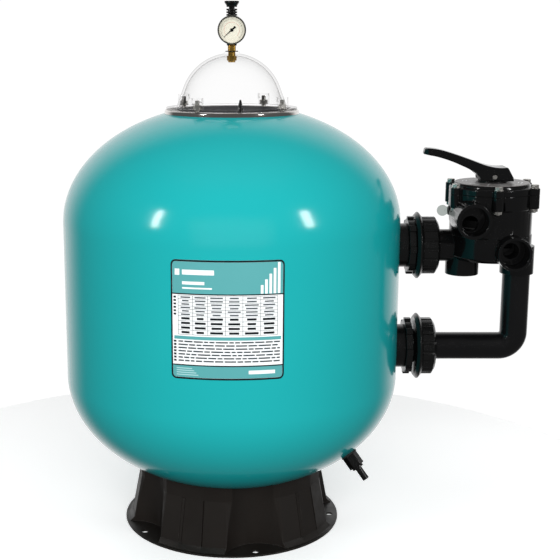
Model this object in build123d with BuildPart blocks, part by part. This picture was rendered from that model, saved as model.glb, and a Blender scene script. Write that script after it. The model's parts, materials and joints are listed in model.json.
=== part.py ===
"""Side-mount sand filter tank with a six-way valve, one STEP file for each piece.

Frame: millimetres, +Z up, origin on the floor at the tank's axis. The two tank ports and
the valve lie on the +X side, and the data label and the gauge face -Y.
"""
from build123d import *
import os
from math import acos, atan2, cos, degrees, pi, radians, sin, sqrt

os.makedirs("parts", exist_ok=True)

# ------------------------------------------------------------------ clearances
FIT = 0.05  # radial clearance of a shaft that turns or slides in its hole
SEAT = 0.1  # radial clearance between pieces that stay put
GAP = 0.3  # room between curved pieces that move past each other

# ------------------------------------------------------------------ tank shell
TANK_R = 305.0
TANK_WALL = 6.5
CYLINDER_LOW = 288.0
CYLINDER_H = 282.0
TOP_HEAD_RISE = 210.0
BOTTOM_HEAD_DROP = 206.0
CYLINDER_HIGH = CYLINDER_LOW + CYLINDER_H
POLE_FLAT_R = 25.0
SEAM_TURN = 135.0  # where the turned surfaces start and end, away from every hole

# ------------------------------------------------------------------ neck, ring and lid
OPENING_R = 99.7
NECK_BORE_R = 92.0
NECK_DEPTH = 35.0
NECK_FLANGE_R = 113.6
NECK_UNDERSIDE = 18.0
RING_R = 120.4
RING_RISE = 7.0
RING_SHEET = 2.0
RING_ROLL = 3.2
RING_FOOT = 2.0
SEAL_WIRE_R = 1.75
LID_SEAL_R = 96.0
LID_FLANGE_R = 117.0
LID_FLANGE = 4.0
DOME_R = 92.0
DOME_WALL = 4.5
DOME_CENTRE_RISE = 7.0
DOME_CONE = 20.3
DOME_BOSS_R = 14.25
DOME_BOSS_RISE = 2.0
STUD_COUNT = 4
STUD_CIRCLE_R = 106.0
STUD_TURN = 56.0
STUD_R = 3.9
STUD_RISE = 20.0
TOWER_R = 11.0
TOWER_WALL = 1.8
TOWER_H = 20.0
TOWER_SLOT = 1.6
LID_NUT_FLATS = 13.0
LID_NUT_H = 6.5
LID_WASHER_R = 8.0
LID_WASHER = 1.5

# ------------------------------------------------------------------ gauge and air bleed
ADAPTOR_STEM_R = 6.4
ADAPTOR_BLOCK_H = 9.0
ADAPTOR_BLOCK_W = 14.0
ADAPTOR_NUT_FLATS = 15.0
ADAPTOR_NUT_H = 8.0
ADAPTOR_SEAL = 1.5
GAUGE_Y = -13.0
GAUGE_STEM_SIDE = 9.0
GAUGE_STEM_H = 6.0
GAUGE_STEM_SINK = 4.0
GAUGE_R = 25.0
GAUGE_DEPTH = 24.0
GAUGE_WALL = 1.2
BEZEL_DEPTH = 5.0
BEZEL_LIP = 2.4
LENS_R = 23.4
LENS = 1.6
DIAL_R = 22.6
DIAL = 0.8
DIAL_SETBACK = 6.5
NEEDLE = 0.6
NEEDLE_LENGTH = 17.8
NEEDLE_TAIL = 8.4
NEEDLE_HUB_R = 3.0
NEEDLE_TAIL_HALF_W = 2.0
NEEDLE_HALF_W = 1.1
NEEDLE_TIP_HALF_W = 0.3
NEEDLE_ANGLE = 221.0
SPINDLE_R = 0.9
BOURDON_R = 15.0
BOURDON_TUBE_R = 2.2
BOURDON_ARC = 250.0
BLEED_Y = 17.0
BLEED_BODY_R = 9.0
BLEED_RIB_R = 9.8
BLEED_BODY_H = 64.0
BLEED_BORE_R = 5.5
BLEED_SCREW_R = 5.2
BLEED_SCREW_LENGTH = 22.0
BLEED_KNOB_R = 13.0
BLEED_KNOB_LOW_R = 9.5
BLEED_KNOB_H = 10.5
BLEED_KNOB_RISE = 3.0

# ------------------------------------------------------------------ skirt
SKIRT_FLANGE_R = 202.4
SKIRT_FLANGE = 3.5
SKIRT_WALL = 4.0
SKIRT_FOOT_R = 197.5
SKIRT_WAIST_R = 189.5
SKIRT_WAIST_Z = 12.0
SKIRT_TOP_R = 174.0
SKIRT_SHOULDER_Z = 92.0
NICHE_COUNT = 5
NICHE_TURN = -77.0
NICHE_R = 62.0
NICHE_AXIS_R = 216.0
NICHE_HALF_ANGLE = 16.5
FACET_ANGLE = 13.0
GROOVE_W = 6.0
GROOVE_DEPTH = 1.2
SEAM_W = 1.0
ANCHOR_CIRCLE_R = 187.0
ANCHOR_R = 5.5

# ------------------------------------------------------------------ data label
LABEL_TURN = -91.3
LABEL_W = 181.0
LABEL_H = 196.0
LABEL_RISE = 167.0
LABEL_FILM = 0.4
LABEL_CORNER = 9.0

# ------------------------------------------------------------------ tank ports and unions
PORT_SPACING = 190.5
UPPER_PORT_DROP = 47.2
UPPER_PORT_Z = CYLINDER_HIGH - UPPER_PORT_DROP
LOWER_PORT_Z = UPPER_PORT_Z - PORT_SPACING
BULKHEAD_BORE_R = 24.0
BULKHEAD_R = 30.5
BULKHEAD_FLANGE_R = 52.0
BULKHEAD_FLANGE = 9.0
GASKET = 3.0
SPACER_R = 40.0
SPACER_END = TANK_R + 15.0
LUG_NUT_R = 49.0
LUG_NUT = 12.0
LUG_COUNT = 8
LUG_REACH = 4.0
UNION_FLANGE_R = 61.0
UNION_FLANGE = 12.0
UNION_SNOUT_R = 42.0
UNION_SNOUT = 9.0
UNION_SEAL = 3.0
UNION_COLLAR_R = 41.5
UNION_COLLAR = 6.5
UNION_NUT_R = 52.5
UNION_NUT_END = TANK_R + 70.0
UNION_NUT_CHAMFER = 5.0
UNION_FLUTES = 18
FLUTE_R = 3.5
UNION_START = {"upper": TANK_R + 28.0, "lower": TANK_R + 33.0}
PORT_Z = {"upper": UPPER_PORT_Z, "lower": LOWER_PORT_Z}

# ------------------------------------------------------------------ pipe
PIPE_R = 25.0
PIPE_WALL = 3.0
PIPE_BEND_R = 27.0
PIPE_SOCKET = 26.0

# ------------------------------------------------------------------ valve
VALVE_X = TANK_R + 167.4
VALVE_R = 73.7
VALVE_FLANGE_R = 76.5
VALVE_WALL = 7.0
VALVE_LOW = UPPER_PORT_Z - 22.8
VALVE_STEP_Z = UPPER_PORT_Z + 22.2
VALVE_STEP = 1.2
PORT_FLOOR_Z = UPPER_PORT_Z + 37.2
VALVE_FLANGE_Z = UPPER_PORT_Z + 73.2
VALVE_HIGH = UPPER_PORT_Z + 98.2
COVER = 17.5
COVER_RIM = 12.0
DISC_R = 67.5
TANK_STUB_R = 29.35
STUB_R = 30.3
STUB_BORE_R = 25.1
WINDOW_R = 14.0
WINDOW_CIRCLE_R = 42.0
PUMP_PORT_X = VALVE_X - 49.4
PUMP_PORT_Z = UPPER_PORT_Z + 58.2
WASTE_PORT_X = VALVE_X + 24.6
WASTE_PORT_Z = UPPER_PORT_Z + 0.2
PORT_FACE_Y = -100.0
PORT_DEPTH = 36.0
PORT_PASSAGE_R = 14.0
PORT_PASSAGE_END_Y = -32.0
PUMP_PASSAGE_DROP = 9.0
PORT_ROOT_Y = -22.0
DROP_STUB_X = VALVE_X - 48.8
DROP_STUB_LOW = UPPER_PORT_Z - 52.8
RISER_X = VALVE_X + 52.1
RISER_COLLAR_LOW = UPPER_PORT_Z - 51.8
BOLT_COUNT = 6
BOLT_TURN = -94.0
BOLT_CIRCLE_R = 80.0
BOLT_R = 3.9
BOLT_HEAD_FLATS = 13.0
BOLT_HEAD_H = 5.3
BOLT_WASHER_R = 8.0
BOLT_WASHER = 1.5
LUG_R = 9.5
LUG_H = 23.0
PLATE = 1.0
PLATE_BORE_R = 29.0
COVER_SEAL_R = 69.2
COVER_SEAL_WIRE_R = 1.5
TURN_WASHER_R = 26.0
TURN_WASHER = 3.0
STEM_R = 12.0
STEM_SEAL_WIRE_R = 1.6
ROTOR_R = 64.0
ROTOR = 13.0
ROTOR_HUB_R = 15.5
SPIDER = 2.0
SPIDER_R = 65.0
SPIDER_SPOKE = 6.0
ROTOR_LIFT = 6.2
SPRING_R = 19.5
SPRING_WIRE_R = 1.9
SPRING_TURNS = 5
PLUG_Z = UPPER_PORT_Z + 64.2
PLUG_BOSS_R = 8.5
PLUG_BOSS_X = VALVE_X - 78.4
PLUG_STEM_R = 5.0
PLUG_TAB_R = 10.0
PLUG_TAB = 3.6
PLUG_REACH = 10.0

# ------------------------------------------------------------------ lever
PIN_RISE = 7.5
PIN_R = 4.0
HUB_W = 46.0
HUB_BACK = 34.6
HUB_FRONT = 26.4
HUB_HEEL_R = 5.0
LEVER_REACH = 127.4
LEVER_W = 30.0
LEVER_TIP_W = 25.0
CHEEK_GAP = 0.4

# ------------------------------------------------------------------ inside the tank
INLET_X = 118.0
INNER_BEND_R = 34.0
INLET_TOP = CYLINDER_HIGH + 118.0
DIFFUSER_R = 52.0
DIFFUSER_H = 30.0
HUB_Z = CYLINDER_LOW - 136.0
LATERAL_HUB_R = 38.0
LATERAL_HUB_H = 44.0
LATERAL_COUNT = 8
LATERAL_R = 11.0
LATERAL_WALL = 2.0
LATERAL_REACH = 178.0
LATERAL_SLOTS = 9
AIR_TUBE_R = 4.0
AIR_TUBE_X = 15.0
AIR_TUBE_Y = -46.0
STRAINER_R = 9.0
STRAINER_H = 37.0

# ------------------------------------------------------------------ drain
DRAIN_TURN = -27.0
DRAIN_ANGLE = 39.0
DRAIN_STEM_R = 9.0
DRAIN_BODY_R = 14.5
DRAIN_BODY = 24.0
DRAIN_SEAL_R = 15.5
DRAIN_SEAL = 2.5
DRAIN_NUT_R = 16.0
DRAIN_NUT = 12.0
SPIGOT_R = 6.0
SPIGOT_BORE_R = 4.0
SPIGOT = 28.0
SPIGOT_THREAD_R = 6.8
SPIGOT_THREAD = 12.0


def top_surface(radius, wall=0.0):
    """Height of the top head at a radius, on its outside or a wall's depth inside."""
    share = radius / (TANK_R - wall)
    return CYLINDER_HIGH + (TOP_HEAD_RISE - wall) * sqrt(1 - share**2)


def bottom_surface(radius, wall=0.0):
    """Height of the bottom head at a radius, on its outside or a wall's depth inside."""
    share = radius / (TANK_R - wall)
    return CYLINDER_LOW - (BOTTOM_HEAD_DROP - wall) * sqrt(1 - share**2)


LID_SEAT = top_surface(RING_R) + RING_RISE
RING_UNDER = LID_SEAT - RING_SHEET
LID_TOP = LID_SEAT + LID_FLANGE
DOME_CENTRE = LID_SEAT + DOME_CENTRE_RISE
DOME_TOP = DOME_CENTRE + DOME_R
BOSS_TOP = DOME_TOP + DOME_BOSS_RISE
BLOCK_LOW = BOSS_TOP + ADAPTOR_SEAL
BLOCK_TOP = BLOCK_LOW + ADAPTOR_BLOCK_H
GAUGE_Z = BLOCK_TOP + GAUGE_STEM_H - GAUGE_STEM_SINK + GAUGE_R
GAUGE_FRONT = GAUGE_Y - GAUGE_DEPTH / 2
GAUGE_BACK = GAUGE_Y + GAUGE_DEPTH / 2
COVER_TOP = VALVE_HIGH + COVER
COVER_RIM_TOP = VALVE_HIGH + COVER_RIM
PLATE_TOP = COVER_TOP + PLATE
WASHER_TOP = PLATE_TOP + TURN_WASHER
PIN_Z = WASHER_TOP + PIN_RISE


def upright_lathe(outline, centre_x=0.0, centre_y=0.0, mode=Mode.ADD):
    """Turn an outline of (radius, height) points about an upright axis."""
    with BuildSketch(Plane.XZ.offset(-centre_y)) as section:
        with BuildLine():
            Polyline(*[(centre_x + radius, height) for radius, height in outline], close=True)
        make_face()
    revolve(section.sketch, axis=Axis((centre_x, centre_y, 0), (0, 0, 1)), mode=mode)


def port_lathe(outline, height, mode=Mode.ADD):
    """Turn an outline of (x, radius) points about the +X axis of a tank port."""
    with BuildSketch(Plane.XZ) as section:
        with BuildLine():
            Polyline(*[(x, height + radius) for x, radius in outline], close=True)
        make_face()
    revolve(section.sketch, axis=Axis((0, 0, height), (1, 0, 0)), mode=mode)


def gauge_lathe(outline, mode=Mode.ADD):
    """Turn an outline of (radius, y) points about the gauge's axis, which lies along Y."""
    with BuildSketch(Plane.XY.offset(GAUGE_Z)) as section:
        with BuildLine():
            Polyline(*outline, close=True)
        make_face()
    revolve(section.sketch, axis=Axis((0, 0, GAUGE_Z), (0, 1, 0)), mode=mode)


def tank_outline(wall):
    """Right half of the tank's section, from its bottom pole up to its top pole."""
    with BuildSketch(Plane.XZ) as section:
        with BuildLine():
            EllipticalCenterArc(
                (0, CYLINDER_LOW), TANK_R - wall, BOTTOM_HEAD_DROP - wall, -90, arc_size=90,
            )
            Line((TANK_R - wall, CYLINDER_LOW), (TANK_R - wall, CYLINDER_HIGH))
            EllipticalCenterArc(
                (0, CYLINDER_HIGH), TANK_R - wall, TOP_HEAD_RISE - wall, 0, arc_size=90,
            )
            Line(
                (0, CYLINDER_HIGH + TOP_HEAD_RISE - wall),
                (0, CYLINDER_LOW - BOTTOM_HEAD_DROP + wall),
            )
        make_face()
    return section.sketch


def tank_solid(wall=0.0, mode=Mode.ADD):
    """The filled tank outline, or the space a wall's depth inside it."""
    revolve(tank_outline(wall).rotate(Axis.Z, SEAM_TURN), axis=Axis.Z, mode=mode)


def tank_wall(opening_r):
    """The shell alone: open round the neck, and with a small flat at its lowest point."""
    inner_r = TANK_R - TANK_WALL
    flat_out = bottom_surface(POLE_FLAT_R)
    flat_in = bottom_surface(POLE_FLAT_R, TANK_WALL)
    neck_out = degrees(acos(opening_r / TANK_R))
    neck_in = degrees(acos(opening_r / inner_r))
    pole_out = degrees(acos(POLE_FLAT_R / TANK_R))
    pole_in = degrees(acos(POLE_FLAT_R / inner_r))
    low = (0, CYLINDER_LOW)
    high = (0, CYLINDER_HIGH)
    with BuildSketch(Plane.XZ) as section:
        with BuildLine():
            EllipticalCenterArc(low, TANK_R, BOTTOM_HEAD_DROP, -pole_out, arc_size=pole_out)
            Line((TANK_R, CYLINDER_LOW), (TANK_R, CYLINDER_HIGH))
            EllipticalCenterArc(high, TANK_R, TOP_HEAD_RISE, 0, arc_size=neck_out)
            Line(
                (opening_r, top_surface(opening_r)),
                (opening_r, top_surface(opening_r, TANK_WALL)),
            )
            EllipticalCenterArc(high, inner_r, TOP_HEAD_RISE - TANK_WALL, 0, arc_size=neck_in)
            Line((inner_r, CYLINDER_HIGH), (inner_r, CYLINDER_LOW))
            EllipticalCenterArc(
                low, inner_r, BOTTOM_HEAD_DROP - TANK_WALL, -pole_in, arc_size=pole_in,
            )
            Polyline((POLE_FLAT_R, flat_in), (0, flat_in), (0, flat_out), (POLE_FLAT_R, flat_out))
        make_face()
    revolve(section.sketch.rotate(Axis.Z, SEAM_TURN), axis=Axis.Z)


def post(x, y, radius, low, high, mode=Mode.ADD):
    """An upright cylinder between two heights."""
    with BuildSketch(Plane.XY.offset(low)) as section:
        with Locations((x, y)):
            Circle(radius)
    extrude(section.sketch, amount=high - low, mode=mode)


def bar_along_y(x, z, radius, low, high, mode=Mode.ADD):
    """A cylinder along Y between two values of y."""
    with BuildSketch(Plane((x, low, z), x_dir=(1, 0, 0), z_dir=(0, 1, 0))) as section:
        Circle(radius)
    extrude(section.sketch, amount=high - low, mode=mode)


def bar_along_x(z, radius, low, high, mode=Mode.ADD):
    """A cylinder along X between two values of x, in the plane of the ports."""
    with BuildSketch(Plane((low, 0, z), x_dir=(0, 1, 0), z_dir=(1, 0, 0))) as section:
        Circle(radius)
    extrude(section.sketch, amount=high - low, mode=mode)


def circle_posts(circle_r, count, turn, radius, low, high, centre_x=0.0, mode=Mode.ADD):
    """Equal upright cylinders on a circle."""
    with BuildSketch(Plane.XY.offset(low)) as section:
        with Locations((centre_x, 0)):
            with PolarLocations(circle_r, count, start_angle=turn):
                Circle(radius)
    extrude(section.sketch, amount=high - low, mode=mode)


# ------------------------------------------------------------------ drain's own plane
DRAIN_R = TANK_R * cos(radians(DRAIN_ANGLE))
DRAIN_Z = CYLINDER_LOW - BOTTOM_HEAD_DROP * sin(radians(DRAIN_ANGLE))
DRAIN_SLOPE = atan2(TANK_R * sin(radians(DRAIN_ANGLE)), BOTTOM_HEAD_DROP * cos(radians(DRAIN_ANGLE)))
DRAIN_OUT = (
    cos(DRAIN_SLOPE) * cos(radians(DRAIN_TURN)),
    cos(DRAIN_SLOPE) * sin(radians(DRAIN_TURN)),
    -sin(DRAIN_SLOPE),
)
DRAIN_PLANE = Plane(
    (DRAIN_R * cos(radians(DRAIN_TURN)), DRAIN_R * sin(radians(DRAIN_TURN)), DRAIN_Z),
    x_dir=(-sin(radians(DRAIN_TURN)), cos(radians(DRAIN_TURN)), 0),
    z_dir=DRAIN_OUT,
)


def drain_post(radius, low, high, mode=Mode.ADD):
    """A cylinder on the drain's axis, between two distances out from the head."""
    with BuildSketch(DRAIN_PLANE.offset(low)) as section:
        Circle(radius)
    extrude(section.sketch, amount=high - low, mode=mode)


# ================================================================== tank
# Wound glass-fibre shell with its neck opening, two port holes and a drain hole
with BuildPart() as tank_shell:
    tank_wall(OPENING_R)
    for port_z in PORT_Z.values():
        bar_along_x(port_z, BULKHEAD_R + SEAT, TANK_R / 2, 2 * TANK_R, mode=Mode.SUBTRACT)
    drain_post(DRAIN_STEM_R + SEAT, -4 * TANK_WALL, 4 * TANK_WALL, mode=Mode.SUBTRACT)
    circle_posts(
        STUD_CIRCLE_R, STUD_COUNT, STUD_TURN, STUD_R + SEAT,
        LID_SEAT - 4 * TANK_WALL, LID_SEAT, mode=Mode.SUBTRACT,
    )
tank_shell.part.label = "tank_shell"
export_step(tank_shell.part, "parts/tank_shell.step")

# Moulded neck bonded in the opening: a tube with a flange under the shell
COLLAR_TOP = LID_SEAT - 0.2
SEAL_GROOVE = SEAL_WIRE_R + SEAT
with BuildPart() as neck_collar:
    upright_lathe([
        (NECK_BORE_R, LID_SEAT - NECK_DEPTH),
        (OPENING_R, LID_SEAT - NECK_DEPTH),
        (OPENING_R, LID_SEAT - NECK_UNDERSIDE),
        (NECK_FLANGE_R, LID_SEAT - NECK_UNDERSIDE),
        (NECK_FLANGE_R, LID_SEAT),
        (OPENING_R, LID_SEAT),
        (OPENING_R, COLLAR_TOP),
        (NECK_BORE_R, COLLAR_TOP),
    ])
    tank_solid(TANK_WALL, mode=Mode.INTERSECT)
    upright_lathe([
        (NECK_BORE_R, RING_UNDER - 2 * TANK_WALL),
        (OPENING_R, RING_UNDER - 2 * TANK_WALL),
        (OPENING_R, COLLAR_TOP),
        (NECK_BORE_R, COLLAR_TOP),
    ])
    upright_lathe([
        (LID_SEAL_R - SEAL_GROOVE, LID_SEAT - 2 * SEAL_WIRE_R - GAP),
        (LID_SEAL_R + SEAL_GROOVE, LID_SEAT - 2 * SEAL_WIRE_R - GAP),
        (LID_SEAL_R + SEAL_GROOVE, LID_SEAT),
        (LID_SEAL_R - SEAL_GROOVE, LID_SEAT),
    ], mode=Mode.SUBTRACT)
    circle_posts(
        STUD_CIRCLE_R, STUD_COUNT, STUD_TURN, STUD_R + SEAT,
        LID_SEAT - NECK_DEPTH, LID_SEAT, mode=Mode.SUBTRACT,
    )
neck_collar.part.label = "neck_collar"
export_step(neck_collar.part, "parts/neck_collar.step")

# Polished steel ring round the neck, its outer edge rolled down to the shell
with BuildPart() as neck_ring:
    with BuildSketch(Plane.XZ) as ring_section:
        with BuildLine():
            Polyline(
                (OPENING_R + SEAT, LID_SEAT - 2 * RING_RISE),
                (OPENING_R + RING_FOOT, LID_SEAT - 2 * RING_RISE),
                (OPENING_R + RING_FOOT, RING_UNDER),
                (RING_R - RING_ROLL, RING_UNDER),
                (RING_R - RING_ROLL, LID_SEAT - 2 * RING_RISE),
                (RING_R, LID_SEAT - 2 * RING_RISE),
                (RING_R, LID_SEAT),
                (OPENING_R + SEAT, LID_SEAT),
                close=True,
            )
        make_face()
        with Locations((0, CYLINDER_HIGH)):
            Ellipse(TANK_R + SEAT, TOP_HEAD_RISE + SEAT, mode=Mode.SUBTRACT)
        fillet(ring_section.vertices().group_by(Axis.X)[-1].sort_by(Axis.Y)[-1:], RING_ROLL)
    revolve(axis=Axis.Z)
    circle_posts(
        STUD_CIRCLE_R, STUD_COUNT, STUD_TURN, STUD_R + SEAT,
        RING_UNDER - RING_RISE, LID_SEAT + RING_RISE, mode=Mode.SUBTRACT,
    )
neck_ring.part.label = "neck_ring"
export_step(neck_ring.part, "parts/neck_ring.step")

# Studs that hold the lid down
STUD_LOW = LID_SEAT - NECK_UNDERSIDE
STUD_TOP = LID_SEAT + STUD_RISE
with BuildPart() as lid_studs:
    circle_posts(STUD_CIRCLE_R, STUD_COUNT, STUD_TURN, STUD_R, STUD_LOW, STUD_TOP)
    chamfer(lid_studs.faces().group_by(Axis.Z)[-1].edges(), STUD_R / 5)
lid_studs.part.label = "lid_studs"
export_step(lid_studs.part, "parts/lid_studs.step")

# Round rubber seal in the neck's groove
with BuildPart() as lid_seal:
    with Locations((0, 0, LID_SEAT - SEAL_WIRE_R - GAP)):
        Torus(LID_SEAL_R, SEAL_WIRE_R)
lid_seal.part.label = "lid_seal"
export_step(lid_seal.part, "parts/lid_seal.step")

# ================================================================== skirt
NICHE_ANGLES = [NICHE_TURN + k * 360 / NICHE_COUNT for k in range(NICHE_COUNT)]
CORNER_OFFSETS = (
    -NICHE_HALF_ANGLE - FACET_ANGLE, -NICHE_HALF_ANGLE,
    NICHE_HALF_ANGLE, NICHE_HALF_ANGLE + FACET_ANGLE,
)
SKIRT_TOP_Z = bottom_surface(SKIRT_TOP_R) + 6.0
SKIRT_PROFILE = [
    (SKIRT_FOOT_R, SKIRT_FLANGE),
    (SKIRT_WAIST_R, SKIRT_WAIST_Z),
    (SKIRT_TOP_R, SKIRT_SHOULDER_Z),
    (SKIRT_TOP_R, SKIRT_TOP_Z),
]


def skirt_loft(profile, mode=Mode.ADD):
    """A many-sided tapering solid whose flats lie between the niches."""
    sections = []
    for radius, height in profile:
        corners = [
            (radius * cos(radians(niche + offset)), radius * sin(radians(niche + offset)))
            for niche in NICHE_ANGLES
            for offset in CORNER_OFFSETS
        ]
        with BuildSketch(Plane.XY.offset(height)) as level:
            with BuildLine():
                Polyline(*corners, close=True)
            make_face()
        sections.append(level.sketch.face())
    loft(sections, ruled=True, mode=mode)


# Moulded skirt: facets between five niches, open below, and a flange on the floor
with BuildPart() as base_skirt:
    with BuildSketch():
        Circle(SKIRT_FLANGE_R)
    extrude(amount=SKIRT_FLANGE)
    skirt_loft(SKIRT_PROFILE)
    circle_posts(
        NICHE_AXIS_R, NICHE_COUNT, NICHE_TURN, NICHE_R,
        SKIRT_FLANGE, SKIRT_TOP_Z + 1, mode=Mode.SUBTRACT,
    )
    with BuildPart(mode=Mode.PRIVATE) as skirt_space:
        skirt_loft(
            [(SKIRT_WAIST_R - SKIRT_WALL, 0)]
            + [(radius - SKIRT_WALL, height) for radius, height in SKIRT_PROFILE[1:]]
        )
        circle_posts(
            NICHE_AXIS_R, NICHE_COUNT, NICHE_TURN, NICHE_R + SKIRT_WALL,
            0, SKIRT_TOP_Z + 1, mode=Mode.SUBTRACT,
        )
    add(skirt_space.part, mode=Mode.SUBTRACT)
    for niche in NICHE_ANGLES:
        for side, width in ((-1, GROOVE_W), (1, SEAM_W)):
            facet_edge = niche + 180 / NICHE_COUNT + side * FACET_ANGLE / 2
            facet_plane = Plane((0, 0, 0), x_dir=Vector(1, 0, 0).rotate(Axis.Z, facet_edge),
                                z_dir=Vector(0, -1, 0).rotate(Axis.Z, facet_edge))
            depth = GROOVE_DEPTH * (1 if width == GROOVE_W else 0.5)
            with BuildSketch(facet_plane):
                with BuildLine():
                    Polyline(
                        (SKIRT_WAIST_R - depth, SKIRT_WAIST_Z),
                        (SKIRT_TOP_R - depth, SKIRT_SHOULDER_Z),
                        (SKIRT_FOOT_R, SKIRT_SHOULDER_Z),
                        (SKIRT_FOOT_R, SKIRT_WAIST_Z),
                        close=True,
                    )
                make_face()
            extrude(amount=width / 2, both=True, mode=Mode.SUBTRACT)
    circle_posts(
        ANCHOR_CIRCLE_R, NICHE_COUNT, NICHE_TURN, ANCHOR_R, 0, SKIRT_FLANGE, mode=Mode.SUBTRACT,
    )
    tank_solid(mode=Mode.SUBTRACT)
base_skirt.part.label = "base_skirt"
export_step(base_skirt.part, "parts/base_skirt.step")

# Printed film on the front of the cylinder
LABEL_PLANE = Plane(
    (0, 0, CYLINDER_LOW + LABEL_RISE),
    x_dir=(-sin(radians(LABEL_TURN)), cos(radians(LABEL_TURN)), 0),
    z_dir=(cos(radians(LABEL_TURN)), sin(radians(LABEL_TURN)), 0),
)
with BuildPart() as data_label:
    with BuildSketch(LABEL_PLANE):
        RectangleRounded(LABEL_W, LABEL_H, LABEL_CORNER)
    extrude(amount=2 * TANK_R)
    with BuildSketch(Plane.XY.offset(CYLINDER_LOW)):
        Circle(TANK_R + SEAT + LABEL_FILM)
        Circle(TANK_R + SEAT, mode=Mode.SUBTRACT)
    extrude(amount=CYLINDER_H, mode=Mode.INTERSECT)
data_label.part.label = "data_label"
export_step(data_label.part, "parts/data_label.step")

# ================================================================== lid
cone_sin = sin(radians(DOME_CONE))
cone_cos = cos(radians(DOME_CONE))


def dome_points(radius, foot):
    """Where a dome's sphere meets its cone, and where the cone meets a height."""
    joint = (radius * cone_cos, DOME_CENTRE + radius * cone_sin)
    run = (joint[1] - foot) / cone_cos
    return joint, (joint[0] + run * cone_sin, foot)


# Clear dome with its flange, four hollow bolt towers and a boss on top
OUTER_JOINT, OUTER_FOOT = dome_points(DOME_R, LID_TOP)
INNER_R = DOME_R - DOME_WALL
INNER_JOINT, INNER_FOOT = dome_points(INNER_R, LID_TOP)
BOSS_BORE_R = ADAPTOR_STEM_R + SEAT
BOSS_FOOT_Z = DOME_CENTRE + sqrt(DOME_R**2 - DOME_BOSS_R**2)
CROWN_Z = DOME_CENTRE + sqrt(INNER_R**2 - BOSS_BORE_R**2)
with BuildPart() as lid_dome:
    with BuildSketch(Plane.XZ):
        with BuildLine():
            Polyline(
                INNER_FOOT,
                (NECK_BORE_R + GAP, LID_TOP),
                (NECK_BORE_R + GAP, LID_SEAT),
                (LID_FLANGE_R, LID_SEAT),
                (LID_FLANGE_R, LID_TOP),
                OUTER_FOOT,
                OUTER_JOINT,
            )
            RadiusArc(OUTER_JOINT, (DOME_BOSS_R, BOSS_FOOT_Z), -DOME_R)
            Polyline(
                (DOME_BOSS_R, BOSS_FOOT_Z),
                (DOME_BOSS_R, BOSS_TOP),
                (BOSS_BORE_R, BOSS_TOP),
                (BOSS_BORE_R, CROWN_Z),
            )
            RadiusArc((BOSS_BORE_R, CROWN_Z), INNER_JOINT, INNER_R)
            Line(INNER_JOINT, INNER_FOOT)
        make_face()
    revolve(axis=Axis.Z)
    circle_posts(
        STUD_CIRCLE_R, STUD_COUNT, STUD_TURN, TOWER_R, LID_SEAT + LID_FLANGE / 2, LID_TOP + TOWER_H,
    )
    circle_posts(
        STUD_CIRCLE_R, STUD_COUNT, STUD_TURN, TOWER_R - TOWER_WALL,
        LID_TOP, LID_TOP + TOWER_H, mode=Mode.SUBTRACT,
    )
    circle_posts(
        STUD_CIRCLE_R, STUD_COUNT, STUD_TURN, STUD_R + GAP,
        LID_SEAT, LID_TOP, mode=Mode.SUBTRACT,
    )
    with BuildSketch(Plane.XY.offset(LID_TOP + TOWER_H)):
        with PolarLocations(STUD_CIRCLE_R, STUD_COUNT, start_angle=STUD_TURN):
            Rectangle(TOWER_SLOT, 2.2 * TOWER_R)
            Rectangle(2.2 * TOWER_R, TOWER_SLOT)
    extrude(amount=-TOWER_H / 5, mode=Mode.SUBTRACT)
lid_dome.part.label = "lid_dome"
export_step(lid_dome.part, "parts/lid_dome.step")

# Washers and nuts down inside the towers
with BuildPart() as lid_washers:
    circle_posts(
        STUD_CIRCLE_R, STUD_COUNT, STUD_TURN, LID_WASHER_R, LID_TOP, LID_TOP + LID_WASHER,
    )
    circle_posts(
        STUD_CIRCLE_R, STUD_COUNT, STUD_TURN, STUD_R + GAP,
        LID_TOP, LID_TOP + LID_WASHER, mode=Mode.SUBTRACT,
    )
lid_washers.part.label = "lid_washers"
export_step(lid_washers.part, "parts/lid_washers.step")

LID_NUT_LOW = LID_TOP + LID_WASHER
with BuildPart() as lid_nuts:
    with BuildSketch(Plane.XY.offset(LID_NUT_LOW)):
        with PolarLocations(STUD_CIRCLE_R, STUD_COUNT, start_angle=STUD_TURN):
            RegularPolygon(LID_NUT_FLATS / 2, 6, major_radius=False)
            Circle(STUD_R + GAP, mode=Mode.SUBTRACT)
    extrude(amount=LID_NUT_H)
lid_nuts.part.label = "lid_nuts"
export_step(lid_nuts.part, "parts/lid_nuts.step")

# ================================================================== gauge and air bleed
# Brass block on a stem through the dome's boss; the gauge and the bleed screw into it
with BuildPart() as gauge_adaptor:
    post(0, 0, ADAPTOR_STEM_R, DOME_TOP - DOME_WALL - ADAPTOR_NUT_H - 4, BLOCK_LOW)
    block_middle = (GAUGE_Y + BLEED_Y) / 2
    with BuildSketch(Plane.XY.offset(BLOCK_LOW)):
        with Locations((0, block_middle)):
            RectangleRounded(ADAPTOR_BLOCK_W, BLEED_Y - GAUGE_Y + ADAPTOR_BLOCK_W, ADAPTOR_BLOCK_W / 3)
    extrude(amount=ADAPTOR_BLOCK_H)
    post(0, 0, ADAPTOR_STEM_R / 2, 0, BLOCK_LOW + ADAPTOR_BLOCK_H / 2, mode=Mode.SUBTRACT)
gauge_adaptor.part.label = "gauge_adaptor"
export_step(gauge_adaptor.part, "parts/gauge_adaptor.step")

ADAPTOR_NUT_TOP = DOME_TOP - DOME_WALL - 1.0
with BuildPart() as adaptor_nut:
    with BuildSketch(Plane.XY.offset(ADAPTOR_NUT_TOP)):
        RegularPolygon(ADAPTOR_NUT_FLATS / 2, 6, major_radius=False)
        Circle(ADAPTOR_STEM_R + SEAT, mode=Mode.SUBTRACT)
    extrude(amount=-ADAPTOR_NUT_H)
adaptor_nut.part.label = "adaptor_nut"
export_step(adaptor_nut.part, "parts/adaptor_nut.step")

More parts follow.
